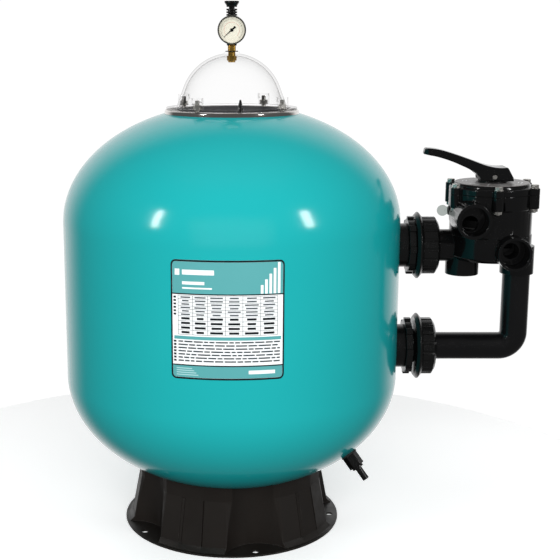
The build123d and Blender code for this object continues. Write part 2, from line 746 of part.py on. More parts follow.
with BuildPart() as adaptor_seal:
    post(0, 0, DOME_BOSS_R - 3, BOSS_TOP, BLOCK_LOW)
    post(0, 0, ADAPTOR_STEM_R + SEAT, BOSS_TOP, BLOCK_LOW, mode=Mode.SUBTRACT)
adaptor_seal.part.label = "adaptor_seal"
export_step(adaptor_seal.part, "parts/adaptor_seal.step")

# Square brass stem of the gauge, reaching up into the case
STEM_END = GAUGE_Z - GAUGE_R + GAUGE_WALL + 5
with BuildPart() as gauge_stem:
    with BuildSketch(Plane.XY.offset(BLOCK_TOP)):
        with Locations((0, GAUGE_Y)):
            Rectangle(GAUGE_STEM_SIDE, GAUGE_STEM_SIDE)
    extrude(amount=STEM_END - BLOCK_TOP)
gauge_stem.part.label = "gauge_stem"
export_step(gauge_stem.part, "parts/gauge_stem.step")

# Steel case, open to the front, with a slot for the stem
with BuildPart() as gauge_case:
    gauge_lathe([
        (0, GAUGE_BACK),
        (GAUGE_R - 0.4, GAUGE_BACK),
        (GAUGE_R - 0.4, GAUGE_FRONT + BEZEL_DEPTH),
        (GAUGE_R - 1.4 - SEAT, GAUGE_FRONT + BEZEL_DEPTH),
        (GAUGE_R - 1.4 - SEAT, GAUGE_BACK - GAUGE_WALL),
        (0, GAUGE_BACK - GAUGE_WALL),
    ])
    with BuildSketch(Plane.XY.offset(BLOCK_TOP)):
        with Locations((0, GAUGE_Y)):
            Rectangle(GAUGE_STEM_SIDE + 2 * SEAT, GAUGE_STEM_SIDE + 2 * SEAT)
    extrude(amount=GAUGE_R, mode=Mode.SUBTRACT)
gauge_case.part.label = "gauge_case"
export_step(gauge_case.part, "parts/gauge_case.step")

# Rim that holds the lens
with BuildPart() as gauge_bezel:
    gauge_lathe([
        (GAUGE_R - BEZEL_LIP, GAUGE_FRONT),
        (GAUGE_R - 0.8, GAUGE_FRONT),
        (GAUGE_R, GAUGE_FRONT + 0.8),
        (GAUGE_R, GAUGE_FRONT + BEZEL_DEPTH),
        (LENS_R + SEAT, GAUGE_FRONT + BEZEL_DEPTH),
        (LENS_R + SEAT, GAUGE_FRONT + 1.0),
        (GAUGE_R - BEZEL_LIP, GAUGE_FRONT + 1.0),
    ])
gauge_bezel.part.label = "gauge_bezel"
export_step(gauge_bezel.part, "parts/gauge_bezel.step")

LENS_FRONT = GAUGE_FRONT + 1.0
with BuildPart() as gauge_lens:
    bar_along_y(0, GAUGE_Z, LENS_R, LENS_FRONT, LENS_FRONT + LENS)
gauge_lens.part.label = "gauge_lens"
export_step(gauge_lens.part, "parts/gauge_lens.step")

DIAL_FRONT = GAUGE_FRONT + DIAL_SETBACK
with BuildPart() as gauge_dial:
    bar_along_y(0, GAUGE_Z, DIAL_R, DIAL_FRONT, DIAL_FRONT + DIAL)
    bar_along_y(0, GAUGE_Z, SPINDLE_R + GAP, DIAL_FRONT, DIAL_FRONT + DIAL, mode=Mode.SUBTRACT)
gauge_dial.part.label = "gauge_dial"
export_step(gauge_dial.part, "parts/gauge_dial.step")

# Needle with its hub and spindle; it points down and to the left at no pressure
NEEDLE_FRONT = DIAL_FRONT - 1.6
NEEDLE_PLANE = Plane(
    (0, NEEDLE_FRONT, GAUGE_Z),
    x_dir=(cos(radians(NEEDLE_ANGLE)), 0, sin(radians(NEEDLE_ANGLE))),
    z_dir=(0, 1, 0),
)
with BuildPart() as gauge_needle:
    with BuildSketch(NEEDLE_PLANE):
        with BuildLine():
            Polyline(
                (-NEEDLE_TAIL, -NEEDLE_TAIL_HALF_W),
                (0, -NEEDLE_HALF_W),
                (NEEDLE_LENGTH, -NEEDLE_TIP_HALF_W),
                (NEEDLE_LENGTH, NEEDLE_TIP_HALF_W),
                (0, NEEDLE_HALF_W),
                (-NEEDLE_TAIL, NEEDLE_TAIL_HALF_W),
                close=True,
            )
        make_face()
        Circle(NEEDLE_HUB_R)
    extrude(amount=NEEDLE)
    bar_along_y(0, GAUGE_Z, SPINDLE_R, NEEDLE_FRONT, DIAL_FRONT + 6)
gauge_needle.part.label = "gauge_needle"
export_step(gauge_needle.part, "parts/gauge_needle.step")

# Curved pressure tube behind the dial, rising from the stem
with BuildPart() as bourdon_tube:
    with BuildSketch(Plane((0, GAUGE_Y, GAUGE_Z - BOURDON_R), x_dir=(0, 1, 0), z_dir=(1, 0, 0))):
        Circle(BOURDON_TUBE_R)
    revolve(axis=Axis((0, GAUGE_Y, GAUGE_Z), (0, -1, 0)), revolution_arc=BOURDON_ARC)
bourdon_tube.part.label = "bourdon_tube"
export_step(bourdon_tube.part, "parts/bourdon_tube.step")

# Ribbed air-bleed body behind the gauge
BLEED_TOP = BLOCK_TOP + BLEED_BODY_H
KNOB_LOW = BLEED_TOP + BLEED_KNOB_RISE
KNOB_TOP = KNOB_LOW + BLEED_KNOB_H
SCREW_END = KNOB_LOW - BLEED_SCREW_LENGTH
BLEED_SEAT_Z = SCREW_END - 3.0
with BuildPart() as bleed_body:
    post(0, BLEED_Y, BLEED_BODY_R - 2, BLOCK_TOP, BLEED_TOP)
    for rib in range(3):
        rib_low = BLEED_TOP - 3 - rib * 4.6
        post(0, BLEED_Y, BLEED_RIB_R, rib_low, rib_low + 3)
    post(0, BLEED_Y, BLEED_BODY_R, BLOCK_TOP, BLOCK_TOP + 10)
    post(0, BLEED_Y, BLEED_BORE_R, BLEED_SEAT_Z, BLEED_TOP, mode=Mode.SUBTRACT)
    post(0, BLEED_Y, BLEED_BORE_R / 2, BLOCK_TOP, BLEED_SEAT_Z, mode=Mode.SUBTRACT)
bleed_body.part.label = "bleed_body"
export_step(bleed_body.part, "parts/bleed_body.step")

# Rubber pad under the bleed screw
with BuildPart() as bleed_seal:
    post(0, BLEED_Y, BLEED_BORE_R - GAP, BLEED_SEAT_Z, SCREW_END)
bleed_seal.part.label = "bleed_seal"
export_step(bleed_seal.part, "parts/bleed_seal.step")

# Knob and its screw
with BuildPart() as bleed_knob:
    upright_lathe([
        (0, SCREW_END),
        (BLEED_SCREW_R, SCREW_END),
        (BLEED_SCREW_R, KNOB_LOW),
        (BLEED_KNOB_LOW_R, KNOB_LOW),
        (BLEED_KNOB_LOW_R, KNOB_LOW + 2.5),
        (BLEED_KNOB_R, KNOB_TOP - 3),
        (BLEED_KNOB_R, KNOB_TOP),
        (BLEED_KNOB_R - 2, KNOB_TOP),
        (BLEED_KNOB_R - 4, KNOB_TOP - 3),
        (0, KNOB_TOP - 3),
    ], centre_y=BLEED_Y)
bleed_knob.part.label = "bleed_knob"
export_step(bleed_knob.part, "parts/bleed_knob.step")

# ================================================================== tank ports
INNER_WALL_R = TANK_R - TANK_WALL
GASKET_R = INNER_WALL_R - GASKET
SPACER_BORE_R = BULKHEAD_R + SEAT


def inside_cylinder(radius, mode):
    """Keep only what lies inside an upright cylinder about the tank's axis."""
    post(0, 0, radius, 0, 2 * CYLINDER_HIGH, mode=mode)


for name, port_z in PORT_Z.items():
    start = UNION_START[name]
    flange_end = start + UNION_FLANGE
    snout_end = flange_end + UNION_SNOUT
    collar_start = snout_end + UNION_SEAL
    collar_end = collar_start + UNION_COLLAR
    through_r = TANK_STUB_R if name == "upper" else PIPE_R

    # Flanged tube through the wall, its flange curved to the inside of the shell
    with BuildPart() as bulkhead:
        bar_along_x(port_z, BULKHEAD_FLANGE_R, GASKET_R - 2 * BULKHEAD_FLANGE, TANK_R)
        inside_cylinder(GASKET_R, Mode.INTERSECT)
        bar_along_x(port_z, BULKHEAD_R, GASKET_R - BULKHEAD_FLANGE, snout_end)
        bar_along_x(
            port_z, BULKHEAD_BORE_R, GASKET_R - 3 * BULKHEAD_FLANGE, snout_end, mode=Mode.SUBTRACT,
        )
        bar_along_x(
            port_z, PIPE_R + SEAT, GASKET_R - 3 * BULKHEAD_FLANGE, GASKET_R - BULKHEAD_FLANGE,
            mode=Mode.SUBTRACT,
        )
    bulkhead.part.label = f"bulkhead_{name}"
    export_step(bulkhead.part, f"parts/bulkhead_{name}.step")

    # Threaded flange with the snout that the union nut screws onto
    with BuildPart() as union_flange:
        port_lathe([
            (start, BULKHEAD_R + SEAT),
            (start, UNION_FLANGE_R - 6),
            (start + UNION_FLANGE / 2 - 1, UNION_FLANGE_R),
            (start + UNION_FLANGE / 2 + 1, UNION_FLANGE_R),
            (flange_end, UNION_FLANGE_R - 6),
            (flange_end, UNION_SNOUT_R),
            (snout_end, UNION_SNOUT_R),
            (snout_end, BULKHEAD_R + SEAT),
        ], port_z)
    union_flange.part.label = f"union_flange_{name}"
    export_step(union_flange.part, f"parts/union_flange_{name}.step")

    # Fluted union nut
    with BuildPart() as union_nut:
        port_lathe([
            (flange_end + SEAT, UNION_SNOUT_R + SEAT),
            (flange_end + SEAT, UNION_NUT_R),
            (UNION_NUT_END - UNION_NUT_CHAMFER, UNION_NUT_R),
            (UNION_NUT_END, UNION_NUT_R - 3 * UNION_NUT_CHAMFER / 2),
            (UNION_NUT_END, through_r + GAP),
            (collar_end, through_r + GAP),
            (collar_end, UNION_SNOUT_R + SEAT),
        ], port_z)
        with BuildSketch(Plane((flange_end, 0, port_z), x_dir=(0, 1, 0), z_dir=(1, 0, 0))):
            with PolarLocations(UNION_NUT_R + FLUTE_R / 2, UNION_FLUTES):
                Circle(FLUTE_R)
        extrude(amount=UNION_NUT_END - flange_end, mode=Mode.SUBTRACT)
    union_nut.part.label = f"union_nut_{name}"
    export_step(union_nut.part, f"parts/union_nut_{name}.step")

# Rubber gaskets between the flanges and the shell
with BuildPart() as bulkhead_gaskets:
    for port_z in PORT_Z.values():
        bar_along_x(port_z, BULKHEAD_FLANGE_R, GASKET_R - 2 * BULKHEAD_FLANGE, TANK_R)
    inside_cylinder(INNER_WALL_R - SEAT, Mode.INTERSECT)
    inside_cylinder(GASKET_R, Mode.SUBTRACT)
    for port_z in PORT_Z.values():
        bar_along_x(port_z, SPACER_BORE_R, GASKET_R / 2, TANK_R, mode=Mode.SUBTRACT)
bulkhead_gaskets.part.label = "bulkhead_gaskets"
export_step(bulkhead_gaskets.part, "parts/bulkhead_gaskets.step")

# Short spacers from the curved shell out to the flat nuts
with BuildPart() as bulkhead_spacers:
    for port_z in PORT_Z.values():
        bar_along_x(port_z, SPACER_R, TANK_R - 2 * BULKHEAD_FLANGE, SPACER_END)
        bar_along_x(port_z, SPACER_BORE_R, TANK_R / 2, SPACER_END, mode=Mode.SUBTRACT)
    inside_cylinder(TANK_R, Mode.SUBTRACT)
bulkhead_spacers.part.label = "bulkhead_spacers"
export_step(bulkhead_spacers.part, "parts/bulkhead_spacers.step")

# Lugged nuts that pull the flanges up to the shell
with BuildPart() as bulkhead_nuts:
    for port_z in PORT_Z.values():
        nut_plane = Plane((SPACER_END, 0, port_z), x_dir=(0, 1, 0), z_dir=(1, 0, 0))
        with BuildSketch(nut_plane):
            Circle(LUG_NUT_R)
            with PolarLocations(LUG_NUT_R, LUG_COUNT):
                Rectangle(2 * LUG_REACH, 3 * LUG_REACH)
            Circle(SPACER_BORE_R, mode=Mode.SUBTRACT)
        extrude(amount=LUG_NUT)
bulkhead_nuts.part.label = "bulkhead_nuts"
export_step(bulkhead_nuts.part, "parts/bulkhead_nuts.step")

# Flat seals inside the unions
with BuildPart() as union_seals:
    for name, port_z in PORT_Z.items():
        face_x = UNION_START[name] + UNION_FLANGE + UNION_SNOUT
        bar_along_x(port_z, UNION_COLLAR_R - 1, face_x, face_x + UNION_SEAL)
        bar_along_x(port_z, PIPE_R, face_x, face_x + UNION_SEAL, mode=Mode.SUBTRACT)
union_seals.part.label = "union_seals"
export_step(union_seals.part, "parts/union_seals.step")

# Return pipe: a collar in the lower union, along, round one tight bend and up to the valve
RETURN_START = UNION_START["lower"] + UNION_FLANGE + UNION_SNOUT + UNION_SEAL
RETURN_TOP = RISER_COLLAR_LOW + PIPE_SOCKET
with BuildPart() as return_pipe:
    with BuildLine(Plane.XZ) as return_route:
        FilletPolyline(
            (RETURN_START, LOWER_PORT_Z), (RISER_X, LOWER_PORT_Z), (RISER_X, RETURN_TOP),
            radius=PIPE_BEND_R,
        )
    with BuildSketch(Plane((RETURN_START, 0, LOWER_PORT_Z), x_dir=(0, 1, 0), z_dir=(1, 0, 0))):
        Circle(PIPE_R)
    sweep(path=return_route.line)
    bar_along_x(LOWER_PORT_Z, UNION_COLLAR_R, RETURN_START, RETURN_START + UNION_COLLAR)
    with BuildSketch(Plane((RETURN_START, 0, LOWER_PORT_Z), x_dir=(0, 1, 0), z_dir=(1, 0, 0))):
        Circle(PIPE_R - PIPE_WALL)
    sweep(path=return_route.line, mode=Mode.SUBTRACT)
return_pipe.part.label = "return_pipe"
export_step(return_pipe.part, "parts/return_pipe.step")

# ================================================================== valve
VALVE_AXIS = (VALVE_X, 0)
TANK_COLLAR_START = UNION_START["upper"] + UNION_FLANGE + UNION_SNOUT + UNION_SEAL
LUG_LOW = VALVE_FLANGE_Z + 1.0
NUT_LOW = LUG_LOW - BOLT_HEAD_H


def bolt_ears(low, high):
    """Round ears that carry the cover bolts, each tied back to the body by a web."""
    with BuildSketch(Plane.XY.offset(low)) as ears:
        with Locations(VALVE_AXIS):
            with PolarLocations(BOLT_CIRCLE_R, BOLT_COUNT, start_angle=BOLT_TURN):
                Circle(LUG_R)
            with PolarLocations(BOLT_CIRCLE_R - LUG_R, BOLT_COUNT, start_angle=BOLT_TURN):
                Rectangle(2 * LUG_R, 2 * LUG_R)
    extrude(ears.sketch, amount=high - low)


# Moulded body: round chamber over a port floor, and five pipe connections
with BuildPart() as valve_body:
    upright_lathe([
        (0, VALVE_LOW),
        (VALVE_R - 8, VALVE_LOW),
        (VALVE_R + VALVE_STEP, VALVE_LOW + 8),
        (VALVE_R + VALVE_STEP, VALVE_STEP_Z),
        (VALVE_R, VALVE_STEP_Z + VALVE_STEP),
        (VALVE_R, VALVE_FLANGE_Z - 2),
        (VALVE_FLANGE_R, VALVE_FLANGE_Z),
        (VALVE_FLANGE_R, VALVE_HIGH),
        (0, VALVE_HIGH),
    ], centre_x=VALVE_X)
    bolt_ears(LUG_LOW, VALVE_HIGH)
    bar_along_x(UPPER_PORT_Z, TANK_STUB_R, TANK_COLLAR_START, VALVE_X)
    bar_along_x(UPPER_PORT_Z, UNION_COLLAR_R, TANK_COLLAR_START, TANK_COLLAR_START + UNION_COLLAR)
    post(DROP_STUB_X, 0, STUB_R, DROP_STUB_LOW, UPPER_PORT_Z)
    post(RISER_X, 0, STUB_R + 0.2, RISER_COLLAR_LOW, UPPER_PORT_Z)
    bar_along_y(PUMP_PORT_X, PUMP_PORT_Z, STUB_R + 1, PORT_FACE_Y, PORT_ROOT_Y)
    bar_along_y(WASTE_PORT_X, WASTE_PORT_Z, STUB_R, PORT_FACE_Y, PORT_ROOT_Y)
    bar_along_x(PLUG_Z, PLUG_BOSS_R, PLUG_BOSS_X, VALVE_X - VALVE_R + VALVE_WALL)
    post(*VALVE_AXIS, VALVE_R - VALVE_WALL, PORT_FLOOR_Z, VALVE_HIGH, mode=Mode.SUBTRACT)
    bar_along_x(UPPER_PORT_Z, STUB_BORE_R - 1.1, TANK_COLLAR_START, VALVE_X - 12, mode=Mode.SUBTRACT)
    post(DROP_STUB_X, 0, STUB_BORE_R, DROP_STUB_LOW, UPPER_PORT_Z, mode=Mode.SUBTRACT)
    post(RISER_X, 0, PIPE_R + SEAT, RISER_COLLAR_LOW, RETURN_TOP, mode=Mode.SUBTRACT)
    post(RISER_X, 0, PIPE_R - PIPE_WALL, RETURN_TOP, UPPER_PORT_Z + 12, mode=Mode.SUBTRACT)
    bar_along_y(PUMP_PORT_X, PUMP_PORT_Z, STUB_BORE_R, PORT_FACE_Y, PORT_FACE_Y + PORT_DEPTH,
                mode=Mode.SUBTRACT)
    bar_along_y(WASTE_PORT_X, WASTE_PORT_Z, STUB_BORE_R, PORT_FACE_Y, PORT_FACE_Y + PORT_DEPTH,
                mode=Mode.SUBTRACT)
    for passage_x, passage_z in (
        (PUMP_PORT_X, PUMP_PORT_Z - PUMP_PASSAGE_DROP),
        (WASTE_PORT_X, WASTE_PORT_Z),
    ):
        bar_along_y(passage_x, passage_z, PORT_PASSAGE_R, PORT_FACE_Y + PORT_DEPTH,
                    PORT_PASSAGE_END_Y, mode=Mode.SUBTRACT)
    for turn in (180, 0, -60):
        window_x = VALVE_X + WINDOW_CIRCLE_R * cos(radians(turn))
        window_y = WINDOW_CIRCLE_R * sin(radians(turn))
        post(window_x, window_y, WINDOW_R, UPPER_PORT_Z, PORT_FLOOR_Z, mode=Mode.SUBTRACT)
    bar_along_x(PLUG_Z, PLUG_STEM_R + SEAT, PLUG_BOSS_X, VALVE_X - VALVE_R + 2 * VALVE_WALL,
                mode=Mode.SUBTRACT)
    circle_posts(
        BOLT_CIRCLE_R, BOLT_COUNT, BOLT_TURN, BOLT_R + SEAT, LUG_LOW, VALVE_HIGH,
        centre_x=VALVE_X, mode=Mode.SUBTRACT,
    )
    circle_posts(
        BOLT_CIRCLE_R, BOLT_COUNT, BOLT_TURN, BOLT_WASHER_R, NUT_LOW - 3, LUG_LOW,
        centre_x=VALVE_X, mode=Mode.SUBTRACT,
    )
    upright_lathe([
        (COVER_SEAL_R - COVER_SEAL_WIRE_R - SEAT, VALVE_HIGH - 2 * COVER_SEAL_WIRE_R),
        (COVER_SEAL_R + COVER_SEAL_WIRE_R + SEAT, VALVE_HIGH - 2 * COVER_SEAL_WIRE_R),
        (COVER_SEAL_R + COVER_SEAL_WIRE_R + SEAT, VALVE_HIGH),
        (COVER_SEAL_R - COVER_SEAL_WIRE_R - SEAT, VALVE_HIGH),
    ], centre_x=VALVE_X, mode=Mode.SUBTRACT)
valve_body.part.label = "valve_body"
export_step(valve_body.part, "parts/valve_body.step")

with BuildPart() as cover_seal:
    with Locations((VALVE_X, 0, VALVE_HIGH - COVER_SEAL_WIRE_R)):
        Torus(COVER_SEAL_R, COVER_SEAL_WIRE_R)
cover_seal.part.label = "cover_seal"
export_step(cover_seal.part, "parts/cover_seal.step")

# Cover with the raised disc, the stem's bore and the grooves for the stem's seals
STEM_SEAL_HEIGHTS = (VALVE_HIGH + 4.0, VALVE_HIGH + 10.0)
COVER_SKIN = 5.0
BOSS_R = STEM_R + 5
with BuildPart() as valve_cover:
    upright_lathe([
        (0, VALVE_HIGH),
        (VALVE_FLANGE_R, VALVE_HIGH),
        (VALVE_FLANGE_R, COVER_RIM_TOP - 2),
        (VALVE_FLANGE_R - 2, COVER_RIM_TOP),
        (DISC_R + 1, COVER_RIM_TOP),
        (DISC_R, COVER_TOP - 1),
        (DISC_R - 1, COVER_TOP),
        (0, COVER_TOP),
    ], centre_x=VALVE_X)
    bolt_ears(VALVE_HIGH, COVER_RIM_TOP)
    upright_lathe([
        (BOSS_R, VALVE_HIGH),
        (VALVE_R - VALVE_WALL, VALVE_HIGH),
        (VALVE_R - VALVE_WALL - 3, COVER_TOP - COVER_SKIN),
        (BOSS_R, COVER_TOP - COVER_SKIN),
    ], centre_x=VALVE_X, mode=Mode.SUBTRACT)
    post(*VALVE_AXIS, STEM_R + FIT, VALVE_HIGH, COVER_TOP, mode=Mode.SUBTRACT)
    for seal_z in STEM_SEAL_HEIGHTS:
        upright_lathe([
            (STEM_R, seal_z - STEM_SEAL_WIRE_R - SEAT),
            (STEM_R + 2 * STEM_SEAL_WIRE_R + GAP + SEAT, seal_z - STEM_SEAL_WIRE_R - SEAT),
            (STEM_R + 2 * STEM_SEAL_WIRE_R + GAP + SEAT, seal_z + STEM_SEAL_WIRE_R + SEAT),
            (STEM_R, seal_z + STEM_SEAL_WIRE_R + SEAT),
        ], centre_x=VALVE_X, mode=Mode.SUBTRACT)
    circle_posts(
        BOLT_CIRCLE_R, BOLT_COUNT, BOLT_TURN, BOLT_R + SEAT, VALVE_HIGH, COVER_RIM_TOP,
        centre_x=VALVE_X, mode=Mode.SUBTRACT,
    )
valve_cover.part.label = "valve_cover"
export_step(valve_cover.part, "parts/valve_cover.step")

with BuildPart() as stem_seals:
    for seal_z in STEM_SEAL_HEIGHTS:
        with Locations((VALVE_X, 0, seal_z)):
            Torus(STEM_R + STEM_SEAL_WIRE_R + GAP, STEM_SEAL_WIRE_R)
stem_seals.part.label = "stem_seals"
export_step(stem_seals.part, "parts/stem_seals.step")

# Cover bolts, washers and nuts
BOLT_SEAT = COVER_RIM_TOP + BOLT_WASHER
with BuildPart() as cover_bolts:
    circle_posts(
        BOLT_CIRCLE_R, BOLT_COUNT, BOLT_TURN, BOLT_R, NUT_LOW - 2, BOLT_SEAT, centre_x=VALVE_X,
    )
    with BuildSketch(Plane.XY.offset(BOLT_SEAT)):
        with Locations(VALVE_AXIS):
            with PolarLocations(BOLT_CIRCLE_R, BOLT_COUNT, start_angle=BOLT_TURN):
                RegularPolygon(BOLT_HEAD_FLATS / 2, 6, major_radius=False)
    extrude(amount=BOLT_HEAD_H)
cover_bolts.part.label = "cover_bolts"
export_step(cover_bolts.part, "parts/cover_bolts.step")

with BuildPart() as cover_washers:
    circle_posts(
        BOLT_CIRCLE_R, BOLT_COUNT, BOLT_TURN, BOLT_WASHER_R, COVER_RIM_TOP, BOLT_SEAT,
        centre_x=VALVE_X,
    )
    circle_posts(
        BOLT_CIRCLE_R, BOLT_COUNT, BOLT_TURN, BOLT_R + SEAT, COVER_RIM_TOP, BOLT_SEAT,
        centre_x=VALVE_X, mode=Mode.SUBTRACT,
    )
cover_washers.part.label = "cover_washers"
export_step(cover_washers.part, "parts/cover_washers.step")

with BuildPart() as cover_nuts:
    with BuildSketch(Plane.XY.offset(NUT_LOW)):
        with Locations(VALVE_AXIS):
            with PolarLocations(BOLT_CIRCLE_R, BOLT_COUNT, start_angle=BOLT_TURN):
                RegularPolygon(BOLT_HEAD_FLATS / 2, 6, major_radius=False)
                Circle(BOLT_R + SEAT, mode=Mode.SUBTRACT)
    extrude(amount=LUG_LOW - NUT_LOW)
cover_nuts.part.label = "cover_nuts"
export_step(cover_nuts.part, "parts/cover_nuts.step")

# Selector plate with a notch at each of the valve's positions
with BuildPart() as selector_plate:
    with BuildSketch(Plane.XY.offset(COVER_TOP)):
        with Locations(VALVE_AXIS):
            Circle(DISC_R - 1)
            Circle(PLATE_BORE_R, mode=Mode.SUBTRACT)
            with PolarLocations(DISC_R - 1, BOLT_COUNT, start_angle=BOLT_TURN + 20):
                Rectangle(4, 3, mode=Mode.SUBTRACT)
    extrude(amount=PLATE)
selector_plate.part.label = "selector_plate"
export_step(selector_plate.part, "parts/selector_plate.step")

# Spoked rubber gasket on the port floor
ROTOR_LOW = PORT_FLOOR_Z + SPIDER
with BuildPart() as spider_gasket:
    with BuildSketch(Plane.XY.offset(PORT_FLOOR_Z)):
        with Locations(VALVE_AXIS):
            Circle(SPIDER_R)
            Circle(SPIDER_R - SPIDER_SPOKE, mode=Mode.SUBTRACT)
            Circle(ROTOR_HUB_R)
            with PolarLocations(SPIDER_R / 2, BOLT_COUNT, start_angle=30):
                Rectangle(SPIDER_R - SPIDER_SPOKE, SPIDER_SPOKE)
    extrude(amount=SPIDER)
spider_gasket.part.label = "spider_gasket"
export_step(spider_gasket.part, "parts/spider_gasket.step")

# Rotor: a disc with one window and one transfer pocket, and the stem up to the lever's pin
ROTOR_TOP = ROTOR_LOW + ROTOR
STEM_TOP = PIN_Z + PIN_R + 1.5
with BuildPart() as rotor:
    post(*VALVE_AXIS, ROTOR_R, ROTOR_LOW, ROTOR_TOP)
    post(*VALVE_AXIS, STEM_R, ROTOR_LOW, STEM_TOP)
    window_spot = (VALVE_X + WINDOW_CIRCLE_R * cos(pi / 3), WINDOW_CIRCLE_R * sin(pi / 3))
    post(*window_spot, WINDOW_R, ROTOR_LOW, ROTOR_TOP, mode=Mode.SUBTRACT)
    with BuildSketch(Plane.XY.offset(ROTOR_LOW)):
        with Locations(VALVE_AXIS):
            SlotArc(CenterArc((0, 0), WINDOW_CIRCLE_R, 180, 120), 2 * WINDOW_R)
    extrude(amount=ROTOR * 0.6, mode=Mode.SUBTRACT)
    bar_along_y(VALVE_X, PIN_Z, PIN_R + SEAT, -STEM_R, STEM_R, mode=Mode.SUBTRACT)
rotor.part.label = "rotor"
export_step(rotor.part, "parts/rotor.step")

# Compression spring between the rotor and the cover
SPRING_TOP = COVER_TOP - COVER_SKIN - GAP
SPRING_LOW = ROTOR_TOP + GAP
SPRING_RUN = SPRING_TOP - SPRING_LOW - 2 * SPRING_WIRE_R
with BuildPart() as rotor_spring:
    with BuildLine() as coil:
        Helix(
            SPRING_RUN / SPRING_TURNS, SPRING_RUN, SPRING_R,
            center=(VALVE_X, 0, SPRING_LOW + SPRING_WIRE_R),
        )
    with BuildSketch(Plane(coil.line @ 0, z_dir=coil.line % 0)):
        Circle(SPRING_WIRE_R)
    sweep(path=coil.line, is_frenet=True)
rotor_spring.part.label = "rotor_spring"
export_step(rotor_spring.part, "parts/rotor_spring.step")

# Slippery washer that turns with the lever
with BuildPart() as turn_washer:
    post(*VALVE_AXIS, TURN_WASHER_R, COVER_TOP, WASHER_TOP)
    post(*VALVE_AXIS, STEM_R + FIT, COVER_TOP, WASHER_TOP, mode=Mode.SUBTRACT)
turn_washer.part.label = "turn_washer"
export_step(turn_washer.part, "parts/turn_washer.step")

# Lever: a swept arm over a forked hub, whose rounded heel bears on the washer
HUB_BACK_X = VALVE_X + HUB_BACK
HUB_FRONT_X = VALVE_X - HUB_FRONT
TIP_X = VALVE_X - LEVER_REACH
HUB_TOP = PIN_Z + 18.0
with BuildPart() as handle:
    with BuildSketch(Plane.XZ):
        with BuildLine():
            Line((HUB_BACK_X, WASHER_TOP), (HUB_BACK_X - 1.0, PIN_Z - 1))
            Line((HUB_BACK_X - 1.0, PIN_Z - 1), (HUB_BACK_X - 11.5, HUB_TOP - 0.5))
            Spline(
                (HUB_BACK_X - 11.5, HUB_TOP - 0.5),
                (VALVE_X - 11.4, HUB_TOP + 2.0),
                (VALVE_X - 43.4, HUB_TOP + 13.0),
                (VALVE_X - 69.4, HUB_TOP + 22.0),
                (VALVE_X - 107.4, HUB_TOP + 32.0),
                (TIP_X + 3.0, HUB_TOP + 33.0),
            )
            Line((TIP_X + 3.0, HUB_TOP + 33.0), (TIP_X, HUB_TOP + 22.0))
            Spline(
                (TIP_X, HUB_TOP + 22.0),
                (VALVE_X - 90.4, HUB_TOP + 14.0),
                (VALVE_X - 53.4, HUB_TOP - 0.5),
                (VALVE_X - 34.4, HUB_TOP - 11.0),
                (HUB_FRONT_X, HUB_TOP - 19.0),
            )
            Line((HUB_FRONT_X, HUB_TOP - 19.0), (HUB_FRONT_X, WASHER_TOP + HUB_HEEL_R))
            RadiusArc(
                (HUB_FRONT_X, WASHER_TOP + HUB_HEEL_R), (HUB_FRONT_X + HUB_HEEL_R, WASHER_TOP),
                -HUB_HEEL_R,
            )
            Line((HUB_FRONT_X + HUB_HEEL_R, WASHER_TOP), (HUB_BACK_X, WASHER_TOP))
        make_face()
    extrude(amount=HUB_W / 2, both=True)
    with BuildSketch(Plane.XY.offset(COVER_TOP)):
        with BuildLine():
            Polyline(
                (HUB_BACK_X + 1, -HUB_W / 2),
                (HUB_BACK_X + 1, HUB_W / 2),
                (HUB_FRONT_X, HUB_W / 2),
                (HUB_FRONT_X - 16, LEVER_W / 2),
                (TIP_X + 8, LEVER_TIP_W / 2),
                (TIP_X - 1, LEVER_TIP_W / 4),
                (TIP_X - 1, -LEVER_TIP_W / 4),
                (TIP_X + 8, -LEVER_TIP_W / 2),
                (HUB_FRONT_X - 16, -LEVER_W / 2),
                (HUB_FRONT_X, -HUB_W / 2),
                close=True,
            )
        make_face()
    extrude(amount=LEVER_REACH, mode=Mode.INTERSECT)
    with BuildSketch(Plane.XZ):
        with BuildLine():
            Polyline(
                (VALVE_X - STEM_R - 5, WASHER_TOP),
                (VALVE_X + STEM_R + 5, WASHER_TOP),
                (VALVE_X + STEM_R + 2, PIN_Z + 13.8),
                (VALVE_X - STEM_R - 2, PIN_Z + 13.8),
                close=True,
            )
        make_face()
    extrude(amount=STEM_R + CHEEK_GAP, both=True, mode=Mode.SUBTRACT)
    bar_along_y(VALVE_X, PIN_Z, PIN_R + FIT, -HUB_W, HUB_W, mode=Mode.SUBTRACT)
handle.part.label = "handle"
export_step(handle.part, "parts/handle.step")

with BuildPart() as handle_pin:
    bar_along_y(VALVE_X, PIN_Z, PIN_R, -HUB_W / 2 + 1, HUB_W / 2 - 1)
handle_pin.part.label = "handle_pin"
export_step(handle_pin.part, "parts/handle_pin.step")

# Clear thumb plug in the side of the body
TAB_X = PLUG_BOSS_X - PLUG_REACH
with BuildPart() as wing_plug:
    port_lathe([
        (PLUG_BOSS_X - 0.5, 0),
        (PLUG_BOSS_X - 0.5, PLUG_BOSS_R - 1),
        (PLUG_BOSS_X - 3.0, PLUG_BOSS_R - 2),
        (PLUG_BOSS_X - 5.0, PLUG_STEM_R - 1),
        (PLUG_BOSS_X - 5.0, 0),
    ], PLUG_Z)
    bar_along_x(PLUG_Z, PLUG_STEM_R, PLUG_BOSS_X - 1, VALVE_X - VALVE_R + VALVE_WALL - 1)
    with BuildSketch(Plane.XZ):
        with Locations((TAB_X, PLUG_Z)):
            Circle(PLUG_TAB_R)
        with Locations((TAB_X + PLUG_REACH / 2, PLUG_Z)):
            Rectangle(PLUG_REACH, PLUG_TAB_R * 0.9)
    extrude(amount=PLUG_TAB / 2, both=True)
wing_plug.part.label = "wing_plug"
export_step(wing_plug.part, "parts/wing_plug.step")

